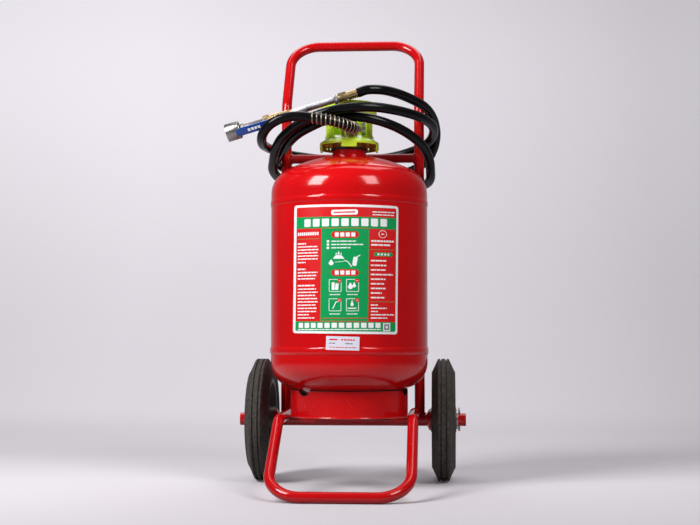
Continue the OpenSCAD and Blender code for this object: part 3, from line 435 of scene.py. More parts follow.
# -- outlet pipe and nozzle ------------------------------------------------------------
# A steel pipe with a turned collar, and a short wide nozzle head turned from steel with a
# rounded shoulder and a shallow open mouth.
dull_steel = finish(
    "dull_steel", (0.34, 0.33, 0.32), (0.22, 0.21, 0.205), (0.3, 0.46), 700.0, 28.0, (0.2, 0.0002),
    metal=1.0, dust=330.0, dust_colour=(0.10, 0.08, 0.065),
)
pipe = finished(
    "outlet_pipe_turned", turned([
        (4.6, 185.02), (7.2, 185.02), (7.6, 185.6), (7.6, 223.1), (8.4, 223.5), (9.5, 224.5),
        (9.5, 228.9), (9.1, 229.3), (9.1, 229.9), (9.5, 230.3), (9.5, 231.3), (9, 231.95),
        (4.6, 231.95),
    ]), on_lance, dull_steel, "unit", "steel", "outlet_pipe",
)
nozzle = finished(
    "nozzle_turned", turned([
        (4.6, 232.05), (14.6, 232.05), (16.2, 232.6), (16.9, 233.8), (17, 234.9), (17, 238.7),
        (16.7, 239), (16.7, 239.8), (17, 240.1), (17, 258.5), (16.5, 259.45), (15.2, 259.45),
        (14.5, 258.7), (14.5, 241.7), (14, 241.55), (4.6, 241.55),
    ], 72), on_lance, dull_steel, "unit", "steel", "nozzle_head",
)

# -- tank --------------------------------------------------------------------------
# A rolled shell of mild steel with a dished head welded on at each end and a collar on top,
# under glossy baked red enamel with a faint orange peel.
enamel = (0.56, 0.003, 0.0045)
enamel_shade = (0.48, 0.0022, 0.0035)
chip = (0.56, 0.16, 0.15)
red_enamel = finish(
    "red_enamel", enamel, enamel_shade, (0.1, 0.17), 170.0, 9.0, (0.045, 0.0009), coat=0.2, specular=0.3
)
dress(red_enamel, "tank_shell", "top_head", "bottom_head", "neck_collar")

# -- foot ring -----------------------------------------------------------------------
# A strip of mild steel rolled into a ring with a round lip at its foot and three round drain
# notches in its top edge. The enamel stops at the joint under the head; the ring's inside and the
# joint are a near-black primer that is mostly painted shade, so the notches and the joint read dark.
on_tank = Matrix.Translation(tank_axis) @ Matrix.Scale(0.001, 4)
scuffed_enamel = finish(
    "scuffed_enamel", enamel, enamel_shade, (0.14, 0.26), 190.0, 11.0, (0.07, 0.0009), coat=0.15,
    dust=230.0, dust_colour=chip, specular=0.3,
)
# near black: a primer that stands mostly for painted shade inside the ring and in its joint
primer_painted_shade = finish(
    "primer_painted_shade", (0.012, 0.006, 0.006), (0.02, 0.01, 0.01), (0.6, 0.75), 300.0, 20.0,
    (0.1, 0.0005), specular=0.2,
)
ring_r, ring_inner_r, joint_r = 112, 109, 111.2
ring_low, head_line = 132.5, 183.0
lip_r, lip_out = 1.5, 0.4
notch_r, notch_lift, notch_turns = 18.4, 8.1, (-135, -15, 105)
ring_section = [(ring_inner_r, 184.3), (ring_inner_r, ring_low + lip_r), (110.5, ring_low + 0.2)]
for k in range(5):
    out, up = math.sin(math.radians(45 * k)), 1 - math.cos(math.radians(45 * k))
    ring_section.append((ring_r + lip_out + lip_r * out, ring_low + lip_r * up))
ring_section += [
    (ring_r, ring_low + 3.3), (ring_r, head_line), (joint_r, head_line), (joint_r, 185.3)
]
foot_ring = turned(ring_section, 480)
for v in foot_ring.verts:
    if v.co.z > head_line - 1:
        around = math.atan2(v.co.y, v.co.x)
        for turn in notch_turns:
            along = ring_r * math.remainder(around - math.radians(turn), 2 * math.pi)
            v.co.z -= max(0, math.sqrt(max(0, notch_r**2 - along**2)) - notch_lift)
ring = finished(
    "foot_ring_rolled", foot_ring, on_tank, scuffed_enamel, "unit", "red_paint", "foot_ring"
)
# the inside and the joint take the near-black primer, which is painted shade there
ring.data.materials.append(primer_painted_shade)
for face in ring.data.polygons:
    face.material_index = int((face.center - tank_axis).xy.length < (joint_r + 0.5) / 1000)

# -- welds ---------------------------------------------------------------------------
# Runs of weld under the enamel: wide and flat ones round the two seams of the tank, and rippled
# beads round the collar and where the frame's tubes, pads and axle meet one another.
bead_r = 0.0018
ripple = 0.0022
upright = Vector((0.133, 0.135, 0))


def level_ring(middle, radius):
    """Points of a ring on the level, a ripple apart, from the front towards +X."""
    steps = int(2 * math.pi * radius / ripple)
    points = []
    for k in range(steps + 1):
        angle = 2 * math.pi * k / steps
        points.append(middle + Vector((radius * math.sin(angle), -radius * math.cos(angle), 0)))
    return points


def bead(name, points, radius=bead_r, rippled=0.1):
    """A run of weld with a ripple at each point."""
    work = tube_along(name, points, radius, 8)
    for k, point in enumerate(work.data.splines[0].points):
        point.radius *= 1 + rippled if k % 2 else 1 - rippled
    work.data.materials.append(red_enamel)
    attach(work, "unit")


collar_r, collar_foot = 0.0333, tank_axis + Vector((0, 0, 0.6302))
bead("collar_weld", level_ring(collar_foot, collar_r), 0.0022)
seam_r, seam_steps = 149.8, 12
for k, (seam_z, half, rise) in enumerate(((257.5, 7, 1.9), (537.5, 6, 1.4))):
    seam_section = [(148, -half)]
    for step in range(seam_steps + 1):
        angle = step * math.pi / seam_steps
        seam_section.append((seam_r + rise * math.sin(angle), -half * math.cos(angle)))
    seam = turned([*seam_section, (148, half)], 180)
    for v in seam.verts:
        if v.co.xy.length > 150:
            around = math.atan2(v.co.y, v.co.x)
            v.co.z += 0.35 * math.sin(23 * around) + 0.2 * math.sin(41 * around + 1)
    at_seam = on_tank @ Matrix.Translation((0, 0, seam_z))
    finished(f"seam_weld_{k + 1}", seam, at_seam, red_enamel, "unit", "red_paint")
bar_bead_r, post_r, bar_z = 0.0094, 0.0104, 0.640
axle_bead_r, axle_r, axle_z = 0.0106, 0.0129, 0.12
rail_x, rail_end, rail_z = 0.124, 0.1238, 0.132
pad_foot_r, pad_half, pad_l = 0.1505, 0.0083, 0.04
ring_angles = [k * 2 * math.pi / 28 for k in range(29)]
for side, label in ((-1, "left"), (1, "right")):
    post = Vector((side * upright.x, upright.y, 0))
    bar_run, axle_run, rail_run = [], [], []
    for angle in ring_angles:
        across, up = math.cos(angle), math.sin(angle)
        inwards = -side * math.sqrt(post_r**2 - (bar_bead_r * across) ** 2)
        bar_run.append(post + Vector((inwards, bar_bead_r * across, bar_z + bar_bead_r * up)))
        over_axle = axle_z + math.sqrt(axle_r**2 - (axle_bead_r * up) ** 2)
        axle_run.append(post + Vector((axle_bead_r * across, axle_bead_r * up, over_axle)))
        rail_run.append(Vector((side * rail_x + post_r * across, rail_end, rail_z + post_r * up)))
    bead(f"cross_bar_weld_{label}", bar_run)
    bead(f"axle_weld_{label}", axle_run)
    bead(f"rail_weld_{label}", rail_run, 0.0016)
    pad_turn = math.atan2(side * 0.133, -0.1)
    for k, low in enumerate((0.266, 0.487)):
        for edge in (-1, 1):
            turn = pad_turn + edge * math.asin(pad_half / pad_foot_r)
            foot = tank_axis + Vector((pad_foot_r * math.sin(turn), -pad_foot_r * math.cos(turn), low))
            run = [foot + Vector((0, 0, pad_l * n / 18)) for n in range(19)]
            bead(f"pad_weld_{label}_{k + 1}_{'out' if edge > 0 else 'in'}", run, 0.0013)

# -- large label ---------------------------------------------------------------------
# A sheet of white vinyl stuck round the front of the tank, screen printed in red, green and
# white. Its words are plain bars and blocks, and its signs are general ones.
skin_r = 0.15
glue_t, vinyl_t, ink_t = 0.1, 0.2, 0.03
vinyl = finish(
    "label_vinyl", (0.82, 0.82, 0.83), (0.78, 0.78, 0.79), (0.22, 0.34), 260.0, 14.0, (0.05, 0.0005)
)
ink_red = finish(
    "label_red", (0.64, 0.010, 0.012), (0.58, 0.008, 0.010), (0.22, 0.34), 260.0, 14.0,
    (0.05, 0.0005), specular=0.4,
)
ink_green = finish(
    "label_green", (0.002, 0.31, 0.085), (0.002, 0.27, 0.07), (0.22, 0.34), 260.0, 14.0,
    (0.05, 0.0005), specular=0.4,
)
ink_grey = finish(
    "label_grey", (0.16, 0.16, 0.17), (0.2, 0.2, 0.2), (0.3, 0.4), 260.0, 14.0, (0.05, 0.0005)
)
WHITE, RED, GREEN, GREY = range(4)


def points_of(geometry):
    """The points among what an operator gave back."""
    return [part for part in geometry if isinstance(part, bmesh.types.BMVert)]


def thickened(shape, height):
    """Gives a flat shape its thickness, upwards."""
    top = bmesh.ops.extrude_face_region(shape, geom=shape.faces[:], use_keep_orig=True)["geom"]
    bmesh.ops.translate(shape, verts=points_of(top), vec=(0, 0, height))
    bmesh.ops.recalc_face_normals(shape, faces=shape.faces)


def printed(sheet, shape, ink, low, height):
    """Adds a flat shape to a sheet as a thin solid of one ink, cut so that it can bend."""
    cut_step = 4
    reach = [v.co.x for v in shape.verts]
    for k in range(math.ceil(min(reach) / cut_step), math.ceil(max(reach) / cut_step)):
        bmesh.ops.bisect_plane(
            shape, geom=shape.verts[:] + shape.edges[:] + shape.faces[:],
            plane_co=(cut_step * k, 0, 0), plane_no=(1, 0, 0),
        )
    bmesh.ops.translate(shape, verts=shape.verts, vec=(0, 0, low))
    thickened(shape, height)
    for face in shape.faces:
        face.material_index = ink
    scratch = bpy.data.meshes.new("scratch")
    shape.to_mesh(scratch)
    shape.free()
    sheet.from_mesh(scratch)
    bpy.data.meshes.remove(scratch)


def oblong(width, height, corner, segments, taper=1.0):
    """A flat oblong with round corners, which may narrow upwards."""
    shape = bmesh.new()
    bmesh.ops.create_grid(
        shape, x_segments=1, y_segments=1, size=0.5, matrix=Matrix.Diagonal((width, height, 1, 1))
    )
    for v in shape.verts:
        if v.co.y > 0:
            v.co.x *= taper
    if corner:
        bmesh.ops.bevel(
            shape, geom=shape.verts, offset=corner, offset_type="OFFSET", segments=segments,
            profile=0.5, affect="VERTICES", clamp_overlap=True, material=-1,
        )
    return shape


def plate(sheet, ink, left, right, low, high, layer, corner=0.0, turn=0.0, taper=1.0):
    """A bar or block of ink, in millimetres round and up the tank."""
    shape = oblong(right - left, high - low, corner, 4, taper)
    middle = Matrix.Translation(((left + right) / 2, (low + high) / 2, 0))
    bmesh.ops.transform(shape, matrix=middle @ Matrix.Rotation(turn, 4, "Z"), verts=shape.verts)
    printed(sheet, shape, ink, glue_t + vinyl_t + layer * ink_t, ink_t)


def spot(sheet, ink, s, z, radius, layer, squash=1.0, peak=0.0):
    """A round spot of ink, or a drop where its top is drawn up to a peak."""
    shape = bmesh.new()
    place = Matrix.Translation((s, z, 0)) @ Matrix.Diagonal((squash, 1, 1, 1))
    bmesh.ops.create_circle(shape, cap_ends=True, segments=20, radius=radius, matrix=place)
    for v in shape.verts:
        rise = max(0.0, (v.co.y - z) / radius)
        v.co.y += peak * rise**3
        v.co.x = s + (v.co.x - s) * (1 - 0.55 * rise * (peak > 0))
    printed(sheet, shape, ink, glue_t + vinyl_t + layer * ink_t, ink_t)


def row(sheet, ink, left, right, z, height, layer=1, words=(9, 5, 13, 7, 11)):
    """A row of small bars that stands for a line of words."""
    word_gap, shortest = 1.1, 0.8
    at, k = left, 0
    while at < right - shortest:
        end = min(at + words[k % len(words)], right)
        plate(sheet, ink, at, end, z - height / 2, z + height / 2, layer)
        at = end + word_gap
        k += 1


def blocks(sheet, ink, left, right, low, high, count, layer, gap=0.26):
    """A row of equal blocks that stands for large letters."""
    step = (right - left) / count
    for k in range(count):
        at = left + step * (k + gap / 2)
        plate(sheet, ink, at, at + step * (1 - gap), low, high, layer, corner=0.12 * (high - low))


def wrapped(name, sheet, inks, node):
    """Bends a printed sheet round the tank and puts it in the place of its node."""
    for v in sheet.verts:
        s, z, h = v.co
        turn = s / 1000 / skin_r
        radius = skin_r + h / 1000
        v.co = (radius * math.sin(turn), tank_axis.y - radius * math.cos(turn), z / 1000)
    data = bpy.data.meshes.new(name)
    sheet.to_mesh(data)
    sheet.free()
    for ink in inks:
        data.materials.append(ink)
    piece = bpy.data.objects.new(name, data)
    bpy.context.scene.collection.objects.link(piece)
    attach(piece, "unit")
    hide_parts(node)


def backing(sheet, ink, left, right, low, high, corner):
    """The vinyl itself, under the inks."""
    shape = oblong(right - left, high - low, corner, 6)
    bmesh.ops.translate(shape, verts=shape.verts, vec=((left + right) / 2, (low + high) / 2, 0))
    printed(sheet, shape, ink, glue_t, vinyl_t)


print_left, print_right, print_low, print_high = -99.6, 101.3, 293, 523
left_column, right_column = -92, 49.7
label = bmesh.new()
backing(label, WHITE, -106, 106, 288.5, 527.5, 5.5)
plate(label, RED, print_left, print_right, print_low, print_high, 0, corner=3.5)
plate(label, GREEN, print_left, print_right, 483.2, 504.7, 1)
plate(label, GREEN, -44.9, 45.2, 312, 483.2, 1)
plate(label, GREEN, print_left, print_right, print_low, 310.8, 1, corner=3.5)
plate(label, RED, -44, 44.5, 483.3, 484.2, 2)
# the vinyl and its grounds, cut a little smaller and stuck on a little out of true
label_scale, label_skew = (0.979, 0.983), (0.013, -0.0105)
for v in label.verts:
    s, z = v.co.xy
    v.co.x = label_scale[0] * s + 1.5 + label_skew[0] * (z - 408)
    v.co.y = label_scale[1] * (z - 290) + 290.6 + label_skew[1] * s
# the head of the label
plate(label, WHITE, -23, 26, 505.0, 514.6, 1, corner=3.6, turn=0.02)
plate(label, RED, -18, 21, 508.6, 510.9, 2, corner=1.0, turn=0.02)
row(label, WHITE, 53, 98, 510.8, 1.9)
row(label, WHITE, 53, 97, 505.6, 1.9, words=(6, 12, 8))
blocks(label, WHITE, -79, 84, 484.5, 498.5, 9, 2)
# the left column
blocks(label, WHITE, -92.5, -46.5, 468.8, 474.6, 10, 1)
plate(label, GREEN, -94, -45, 461.9, 462.6, 1)
row(label, WHITE, left_column, -73, 453.8, 2.6)
for k in range(5):
    words = (11, 6, 14, 8)[k % 3:] + (7,)
    row(label, WHITE, left_column, -49 + (k % 2) * 1.5, 448 - 5.6 * k, 2.1, words=words)
row(label, WHITE, left_column, -74, 419.4, 2.1)
row(label, WHITE, left_column, -74, 407.1, 2.6)
for k in range(3):
    words = (8, 13, 6, 10)[k:] + (9,)
    row(label, WHITE, left_column, -49 - k * 2.6, 400.9 - 5.7 * k, 2.1, words=words)
row(label, WHITE, left_column, -55, 377, 2.6)
for k in range(10):
    right = -49 - (3, 0, 5, 1, 0, 4, 2, 3, 18, 6)[k]
    words = (12, 7, 15, 6, 9)[k % 4:] + (11,)
    row(label, WHITE, left_column, right, 370.6 - 5.85 * k, 2.1, words=words)
# the middle panel
for low in (463, 393.8):
    plate(label, RED, -22.5, 27.5, low, low + 12, 2, corner=5.8)
    blocks(label, WHITE, -17.5, 22.5, low + 2.2, low + 9.8, 4, 3)
for z, right in ((457, 22.3), (451, 35.7), (445, 12.2)):
    spot(label, WHITE, -29, z, 2.4, 2)
    row(label, WHITE, -22.5, right, z, 2.0, 2)
plate(label, WHITE, -20, 1.5, 425, 431.5, 2, corner=1.2, taper=0.5)
spot(label, WHITE, -9.2, 434.5, 2.0, 2, peak=3.0)
spot(label, WHITE, -13.6, 433.5, 1.3, 2, peak=2.2)
spot(label, WHITE, -4.6, 433.5, 1.3, 2, peak=2.2)
spot(label, WHITE, -23, 417.6, 4.2, 2, squash=1.1, peak=2.0)
plate(label, WHITE, -16, 0, 419.2, 420, 2, turn=0.08)
for s, z, turn in ((3, 421.3, -0.2), (7.2, 419.5, -0.6), (10.4, 415.9, -1.0), (13, 412.5, -1.1)):
    plate(label, WHITE, s - 2.7, s + 2.7, z - 0.7, z + 0.7, 2, turn=turn)
plate(label, WHITE, 16.5, 24.5, 412, 428.5, 2, corner=2.4, turn=-0.18)
plate(label, WHITE, 22.5, 30.5, 429, 430.6, 2, turn=0.5)
for s, z in ((-15.5, 376.6), (16.2, 376.6), (-15.8, 341.5), (15.9, 341.5)):
    plate(label, WHITE, s - 11.5, s + 11.5, z - 11.5, z + 11.5, 2, corner=1.6)
    plate(label, GREEN, s - 10.5, s + 10.5, z - 10.5, z + 10.5, 3, corner=1.2)
    plate(label, RED, s + 4.5, s + 11.5, z + 5.5, z + 11.5, 4, corner=0.8)
    plate(label, WHITE, s + 6.2, s + 9.8, z + 8.0, z + 9.0, 5)
    row(label, WHITE, s - 10, s + 9, z - 16.6, 1.7, 2, words=(6, 4, 7))
plate(label, WHITE, -22, -16.5, 368.4, 382.4, 4, corner=0.8)
plate(label, WHITE, -15.5, -9.5, 368.4, 380.4, 4, corner=0.8, turn=-0.12)
spot(label, WHITE, 12.2, 374.4, 4.6, 4, peak=3.0)
spot(label, WHITE, 19, 376.4, 3.4, 4, peak=3.0)
plate(label, WHITE, -17.5, -15.9, 333.7, 348.2, 4, corner=0.6, turn=-0.45)
plate(label, WHITE, -14.2, -9.4, 346.2, 347.6, 4, turn=0.2)
spot(label, WHITE, 15.2, 342.7, 3.6, 4, squash=0.8, peak=4.0)
plate(label, WHITE, 7.2, 23.2, 334.2, 336.2, 4, corner=0.9)
row(label, RED, -40, 43, 317.2, 1.3, 2)
# the right column
spot(label, WHITE, 73, 470.5, 7.2, 1, squash=1.15)
spot(label, RED, 73, 470.5, 6.3, 2, squash=1.15)
row(label, WHITE, 70.3, 75.6, 470.5, 2.4, 3, words=(3, 1))
row(label, WHITE, 50.5, 96, 457.6, 3.2, words=(5, 4, 6, 5, 4))
row(label, WHITE, 50.5, 88, 450.6, 3.0, words=(14, 8, 14))
plate(label, GREEN, 48, 99, 441.6, 442.4, 1)
plate(label, GREEN, 55.5, 93.5, 430, 437, 1, corner=3.3)
blocks(label, WHITE, 61, 88, 431.6, 435.4, 4, 2, gap=0.4)
for k, right in enumerate((80, 80, 78.5, 93.8, 78.5, 75.5, 78.5, 71, 76)):
    words = ((8, 13, 9), (6, 11, 5, 8), (10, 7, 12))[k % 3]
    row(label, WHITE, right_column, right, 421.8 - 8.4 * k, 2.6, words=words)
plate(label, GREEN, 48, 99, 346.9, 347.7, 1)
for k, right in enumerate((63, 81, 63, 96, 82)):
    words = (7, 12, 9, 5)[k % 3:] + (10,)
    row(label, WHITE, right_column, right, 341.2 - 5.9 * k, 2.1, words=words)
# the foot of the label
blocks(label, WHITE, -91, 70, 299.8, 309, 12, 2)
row(label, WHITE, -91, 69, 296.8, 1.9, 2, words=(5, 9, 6, 12, 8, 4))
plate(label, WHITE, 73.5, 88, 293.8, 308.5, 2)
plate(label, GREY, 75.5, 86, 295.9, 306.4, 3, corner=1.0)
plate(label, WHITE, 78.5, 83, 298.9, 303.4, 4)
wrapped("front_label_print", label, [vinyl, ink_red, ink_green, ink_grey], "front_label")

# -- small sticker -------------------------------------------------------------------
# A blank inspection sticker of pale vinyl under the large label, ruled with a few thin bars
# and stuck half over the run of weld round the lower seam.
sticker_vinyl = finish(
    "sticker_vinyl", (0.66, 0.64, 0.74), (0.60, 0.59, 0.69), (0.3, 0.42), 320.0, 20.0, (0.06, 0.0005)
)
sticker = bmesh.new()
backing(sticker, WHITE, -30.4, 30.4, 261.6, 286.4, 0.8)
row(sticker, RED, -24.5, -9, 280.3, 2.6, 0, words=(15,))
row(sticker, RED, -3, 22, 280.3, 2.6, 0, words=(4, 5, 4))
row(sticker, GREY, -24.5, -13, 273.6, 2.0, 0, words=(4, 6))
row(sticker, GREY, 5, 19, 273.6, 2.0, 0, words=(8, 4))
row(sticker, RED, -24.5, 27, 266.6, 1.4, 0, words=(6, 4, 9, 5))
# a little askew, and lifted by the seam under its lower edge
for v in sticker.verts:
    v.co.z += 1.7 * (1 - (v.co.y - 261) / 26)
askew = Matrix.Rotation(-0.028, 3, "Z")
bmesh.ops.rotate(sticker, cent=(0, 274, 0), matrix=askew, verts=sticker.verts)
bmesh.ops.translate(sticker, vec=(-1.9, -2.1, 0), verts=sticker.verts)
wrapped(
    "small_sticker_print", sticker, [sticker_vinyl, ink_red, ink_green, ink_grey],
    "small_sticker",
)

# -- neck gasket and dip tube ----------------------------------------------------------
# A thick ring of black rubber squeezed between the welded collar and the valve's flange. The
# dip tube is a plain drawn tube pushed into the valve's inlet, down to the foot of the tank.
gasket_rubber = finish(
    "gasket_rubber", (0.016, 0.015, 0.015), (0.026, 0.025, 0.024), (0.42, 0.6), 900.0, 40.0,
    (0.2, 0.0003), dust=420.0, dust_colour=(0.06, 0.05, 0.045),
)
dip_plastic = finish(
    "dip_plastic", (0.62, 0.62, 0.60), (0.54, 0.54, 0.52), (0.3, 0.45), 500.0, 25.0, (0.08, 0.0004)
)
gasket = turned([
    (15.2, 641.2), (33.4, 641.2), (34.6, 641.9), (35, 643), (35, 644.4), (34.6, 645.4),
    (33.4, 646.1), (15.2, 646.1),
], 72)
finished("neck_gasket_ring", gasket, on_tank, gasket_rubber, "unit", "gasket_rubber", "neck_gasket")
dress(dip_plastic, "dip_tube")

# -- valve -----------------------------------------------------------------------------
# A forged and turned brass valve body under the guard, clamped by a wide hexagon nut, with a
# bonnet and a gland nut over its steel spindle and the rising plug.
dress(brass, "valve_body", "bonnet", "gland_nut")
dress(steel, "spindle", "valve_plug")
clamp_nut = hexagon(41, 658.17, 665.13)
bmesh.ops.create_cone(
    clamp_nut, cap_ends=True, segments=48, radius1=18.6, radius2=18.6, depth=0.5,
    matrix=Matrix.Translation((0, 0, 665.3)),
)
finished("guard_clamp_nut", rounded(clamp_nut, 0.3), on_tank, brass, "unit", "brass", "guard_nut")
outlet_z, outlet_turn = 677.004, math.radians(14.04)
on_outlet = (
    on_tank @ Matrix.Translation((0, 0, outlet_z)) @ Matrix.Rotation(outlet_turn, 4, "Z")
    @ Matrix.Rotation(math.radians(90), 4, "X")
)
swivel = hexagon(22, 26.12, 35.05)
bmesh.ops.create_cone(
    swivel, cap_ends=True, segments=40, radius1=9.4, radius2=8.9, depth=2.0,
    matrix=Matrix.Translation((0, 0, 36.08)),
)
finished("outlet_swivel_nut", rounded(swivel, 0.25), on_outlet, brass, "unit", "brass", "outlet_nut")

# -- valve guard -------------------------------------------------------------------------
# One pressing of sheet steel under yellow-green enamel: a drum with windows, a flared foot
# with an arch between two legs, and a wider ring on top with a rolled edge.
green_enamel = finish(
    "green_enamel", (0.66, 0.94, 0.050), (0.61, 0.88, 0.042), (0.14, 0.24), 150.0, 12.0, (0.05, 0.0009),
    coat=0.25, dust=260.0, dust_colour=(0.32, 0.44, 0.02),
)
finished(
    "valve_guard_pressing", softened("valve_guard", 0.00045), here, green_enamel, "unit",
    "green_paint", "valve_guard",
)

# -- handwheel ---------------------------------------------------------------------------
# A wheel of moulded black phenolic plastic on the squared end of the spindle, held down by a
# plated hexagon nut.
black_plastic = finish(
    "black_plastic", (0.014, 0.014, 0.015), (0.022, 0.022, 0.023), (0.28, 0.42), 600.0, 30.0,
    (0.1, 0.0003), dust=380.0, dust_colour=(0.05, 0.048, 0.045),
)
dress(black_plastic, "handwheel")
finished(
    "handwheel_top_nut", rounded(hexagon(14, 722.17, 726.1), 0.25), on_tank, steel, "handwheel",
    "steel", "handwheel_nut",
)

# -- pressure gauge ----------------------------------------------------------------------
# A small gauge screwed into the side of the valve: a chromed case, a white card with three
# bands of colour and a scale without figures, a black needle, and a glass.
gauge_foot = (24, 0, 683.15)
on_gauge = on_tank @ Matrix.Translation(gauge_foot) @ Matrix.Rotation(math.radians(90), 4, "Y")
dial_card = finish(
    "dial_card", (0.80, 0.80, 0.78), (0.74, 0.74, 0.71), (0.5, 0.6), 500.0, 30.0, (0.05, 0.0002)
)
dial_ink = finish(
    "dial_ink", (0.02, 0.02, 0.02), (0.035, 0.035, 0.035), (0.5, 0.6), 500.0, 30.0, (0.05, 0.0002)
)
lens = finish(
    "gauge_lens", (0.96, 0.98, 0.98), (0.90, 0.94, 0.94), (0.02, 0.06), 300.0, 20.0, (0.02, 0.0002)
)
lens.node_tree.nodes["Principled BSDF"].inputs["Transmission Weight"].default_value = 1
dress(dial_card, "gauge_dial")
dress(black_plastic, "gauge_needle")
dress(lens, "gauge_glass")
case = turned([
    (0, 0), (13.2, 0), (14, 0.8), (14, 9.4), (13.7, 9.7), (13.7, 10.2), (14, 10.5), (14, 11.4),
    (13.5, 11.98), (12.62, 11.98), (12.62, 1.4), (0, 1.4),
], 64)
finished("gauge_case_turned", case, on_gauge, chrome, "unit", "chrome", "gauge_case")
dial_top, dial_ink_t = 8.61, 0.05
scale_end, good_end = 1.9, 0.75
ticks, tick_half = 9, 0.012


def dial_band(name, first, last, inner, outer, ink):
    """A printed band on the dial, from one angle to another."""
    work = bmesh.new()
    ends = [
        work.verts.new((-r * math.cos(first), r * math.sin(first), dial_top)) for r in (inner, outer)
    ]
    bmesh.ops.spin(
        work, geom=[*ends, work.edges.new(ends)], axis=(0, 0, 1), cent=(0, 0, 0),
        steps=max(1, round(abs(last - first) / 0.08)), angle=first - last,
    )
    thickened(work, dial_ink_t)
    finished(name, work, on_gauge, ink, "unit", "dial_card")


dial_band("gauge_band_low", -scale_end, -good_end, 7.4, 10.2, ink_red)
dial_band("gauge_band_good", -good_end, good_end, 7.4, 10.2, ink_green)
dial_band("gauge_band_high", good_end, scale_end, 7.4, 10.2, ink_red)
for k in range(ticks):
    angle = scale_end * (2 * k / (ticks - 1) - 1)
    dial_band(f"gauge_tick_{k + 1}", angle - tick_half, angle + tick_half, 10.4, 11.8, dial_ink)

# -- frame -------------------------------------------------------------------------------
# Bent and welded steel tube: the handle with its two uprights, a cross bar, pads welded between
# tank and uprights, the foot loop, and the axle with its two flared collars. The tubes' coat is
# a little darker than the tank's, and the cross bar is painted far darker red, as painted shade of the hose
# over it.
tube_enamel = finish(
    "tube_enamel", (0.455, 0.0026, 0.004), (0.40, 0.002, 0.0032), (0.1, 0.17), 170.0, 9.0, (0.045, 0.0009),
    coat=0.15, specular=0.28,
)
dress(tube_enamel, "handle_frame", "foot_loop")
dress(red_enamel, "tank_brackets", "axle", "axle_collars")
# the cross bar's far darker red is painted shade of the hose and the guard above it
crossbar_painted_shade = finish(
    "crossbar_painted_shade", (0.24, 0.0025, 0.0035), (0.20, 0.002, 0.003), (0.2, 0.32), 170.0, 9.0,
    (0.05, 0.0009), specular=0.3,
)
dress(crossbar_painted_shade, "cross_bar")

# -- wheels ------------------------------------------------------------------------------
# Solid tyres of brownish grey rubber with a finely ribbed crown cut by two grooves, on pressed
# and painted steel hubs that turn on plastic bushes.
wheel_middle = Vector((180, 135, 120))
tyre_rubber = finish(
    "tyre_rubber", (0.024, 0.021, 0.019), (0.076, 0.066, 0.056), (0.62, 0.8), 480.0, 170.0,
    (0.6, 0.0008), dust=240.0, dust_colour=(0.15, 0.13, 0.11), specular=0.25,
)
hub_paint = finish(
    "hub_paint", (0.075, 0.066, 0.062), (0.055, 0.049, 0.046), (0.32, 0.46), 320.0, 15.0,
    (0.12, 0.0006), dust=260.0, dust_colour=(0.12, 0.10, 0.085),
)
bush_plastic = finish(
    "bush_plastic", (0.66, 0.62, 0.50), (0.58, 0.54, 0.43), (0.34, 0.48), 500.0, 25.0, (0.08, 0.0004)
)
rib_steps = 220
crown_r, rib_low_r, groove_r = 119.9, 119.45, 117.0
tyre_section = [
    (80.05, -20), (84, -22.2), (95, -23), (96, -21.2), (98, -20.8), (107, -16.6), (107.8, -15.9),
    (108.6, -15.8), (118.8, -11.1), (crown_r, -9.9), (crown_r, -6.6), (groove_r, -6.2),
    (groove_r, -4.2), (crown_r, -3.8),
]
tyre_section += [(r, -x) for r, x in reversed(tyre_section)]
for side, label in ((-1, "left"), (1, "right")):
    tread = turned(tyre_section, rib_steps)
    for v in tread.verts:
        if v.co.xy.length > rib_low_r and odd_step(v, rib_steps):
            v.co.xy *= rib_low_r / v.co.xy.length
    on_wheel = (
        Matrix.Scale(0.001, 4) @ Matrix.Translation(wheel_middle * Vector((side, 1, 1)))
        @ Matrix.Rotation(side * math.radians(90), 4, "Y")
    )
    finished(
        f"tyre_{label}_tread", tread, on_wheel, tyre_rubber, f"wheel_{label}", "tyre_rubber",
        f"tyre_{label}",
    )
dress(hub_paint, "hub_left", "hub_right")
dress(bush_plastic, "bush_left", "bush_right")

# -- wheel fastenings --------------------------------------------------------------------
# A plain washer outside each hub, and a bent split pin of plated wire through each end of the
# axle, which holds the wheel on.
dress(steel, "axle_washers", "split_pins")

# -- studio ------------------------------------------------------------------------------
# A sweep of pale paper under and behind the object, two tall softboxes in front of it and a
# wide one overhead.
sweep_front, sweep_half, sweep_top = -1.9, 6, 5
bend_y, bend_r, bend_steps = 1.6, 1.2, 10
sweep_line = [(sweep_front, 0)]
for k in range(bend_steps + 1):
    angle = math.radians(90) * k / bend_steps
    sweep_line.append((bend_y + bend_r * math.sin(angle), bend_r * (1 - math.cos(angle))))
sweep_line.append((bend_y + bend_r, sweep_top))
sweep_work = bmesh.new()
rim = [sweep_work.verts.new((-sweep_half, y, z)) for y, z in sweep_line]
spine = [sweep_work.edges.new(pair) for pair in zip(rim, rim[1:])]
far = bmesh.ops.extrude_edge_only(sweep_work, edges=spine)["geom"]
bmesh.ops.translate(sweep_work, verts=points_of(far), vec=(2 * sweep_half, 0, 0))
bmesh.ops.recalc_face_normals(sweep_work, faces=sweep_work.faces)
sweep_data = bpy.data.meshes.new("paper_sweep")
sweep_work.to_mesh(sweep_data)
sweep_work.free()
for face in sweep_data.polygons:
    face.use_smooth = True
sweep = bpy.data.objects.new("paper_sweep", sweep_data)
bpy.context.scene.collection.objects.link(sweep)
paper = finish(
    "paper", (0.62, 0.59, 0.63), (0.60, 0.57, 0.61), (0.75, 0.9), 60.0, 1.2, (0.04, 0.001), dust=90.0,
    dust_colour=(0.52, 0.49, 0.52), specular=0.15,
)
tree = paper.node_tree
shader = tree.nodes["Principled BSDF"]


def graded(value, first, last, low, high, **settings):
    """A value of the paper that passes from low to high between two places."""
    ends = {"From Min": first, "From Max": last, "To Min": low, "To Max": high}
    return add(tree, "MapRange", {"Value": value, **ends}, **settings).outputs["Result"]


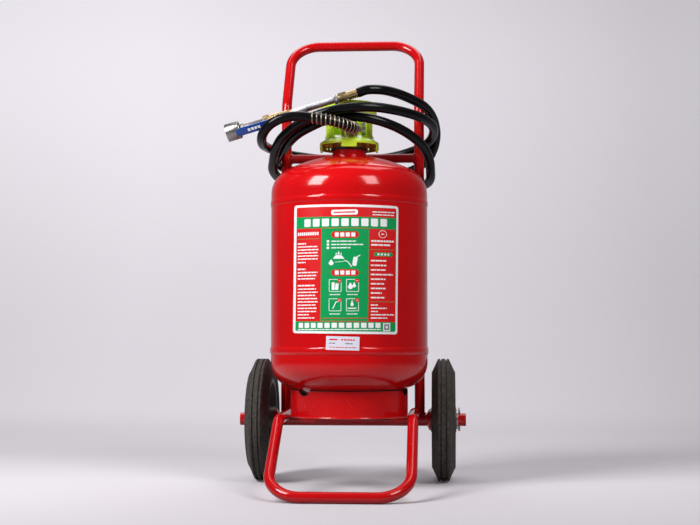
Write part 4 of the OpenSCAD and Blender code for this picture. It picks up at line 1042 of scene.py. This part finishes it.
rays = add(tree, "LightPath", {}).outputs
place = add(tree, "SeparateXYZ", {"Vector": add(tree, "TexCoord", {}).outputs["Object"]}).outputs
# the floor in front is painted a little darker, as painted shade, and the paper throws less light than it
# shows
front_shade = graded(place["Y"], -0.75, 0.1, 0.62, 1.0)
full = shader.inputs["Base Color"].links[0].from_socket
front = mixed(tree, front_shade, (0, 0, 0, 1), full)
thrown = mixed(tree, rays["Is Diffuse Ray"], front, (0.34, 0.33, 0.35, 1))
tree.links.new(thrown, shader.inputs["Base Color"])
# the backdrop glows, more on its left and higher up, for the camera and through glass only
seen = {0: rays["Is Camera Ray"], 1: rays["Is Transmission Ray"]}
glow = add(tree, "Math", seen, operation="ADD", use_clamp=True).outputs["Value"]
for share in (
    graded(place["Y"], 0.7, 1.9, 0.06, 0.38),
    graded(place["X"], -1.0, 1.0, 1.3, 0.7),
    graded(place["Z"], 0.1, 1.5, 0.66, 1.18, interpolation_type="SMOOTHSTEP"),
):
    glow = add(tree, "Math", {0: glow, 1: share}, operation="MULTIPLY").outputs["Value"]
tree.links.new(glow, shader.inputs["Emission Strength"])
shader.inputs["Emission Color"].default_value = (0.98, 0.94, 1.0, 1)
sweep_data.materials.append(paper)


def softbox(name, place, target, width, height, watts):
    """A rectangular lamp that faces a point."""
    data = bpy.data.lights.new(name, "AREA")
    data.shape = "RECTANGLE"
    data.size = width
    data.size_y = height
    data.energy = watts
    lamp = bpy.data.objects.new(name, data)
    lamp.location = place
    lamp.rotation_euler = (Vector(target) - Vector(place)).to_track_quat("-Z", "Y").to_euler()
    bpy.context.scene.collection.objects.link(lamp)


softbox("left_softbox", (-1.25, -1.15, 1.62), (0, 0, 0.5), 0.7, 1.2, 54)
softbox("right_softbox", (1.0, -1.3, 1.62), (0, 0, 0.5), 0.6, 1.15, 23)
softbox("top_softbox", (0, 0.95, 2.4), (0, 0.2, 0.4), 1.8, 1.7, 26)
world = bpy.data.worlds.new("studio")
world.use_nodes = True
world.node_tree.nodes["Background"].inputs["Color"].default_value = (0.80, 0.78, 0.82, 1)
world.node_tree.nodes["Background"].inputs["Strength"].default_value = 0.12
bpy.context.scene.world = world
bpy.context.scene.view_settings.view_transform = "Standard"
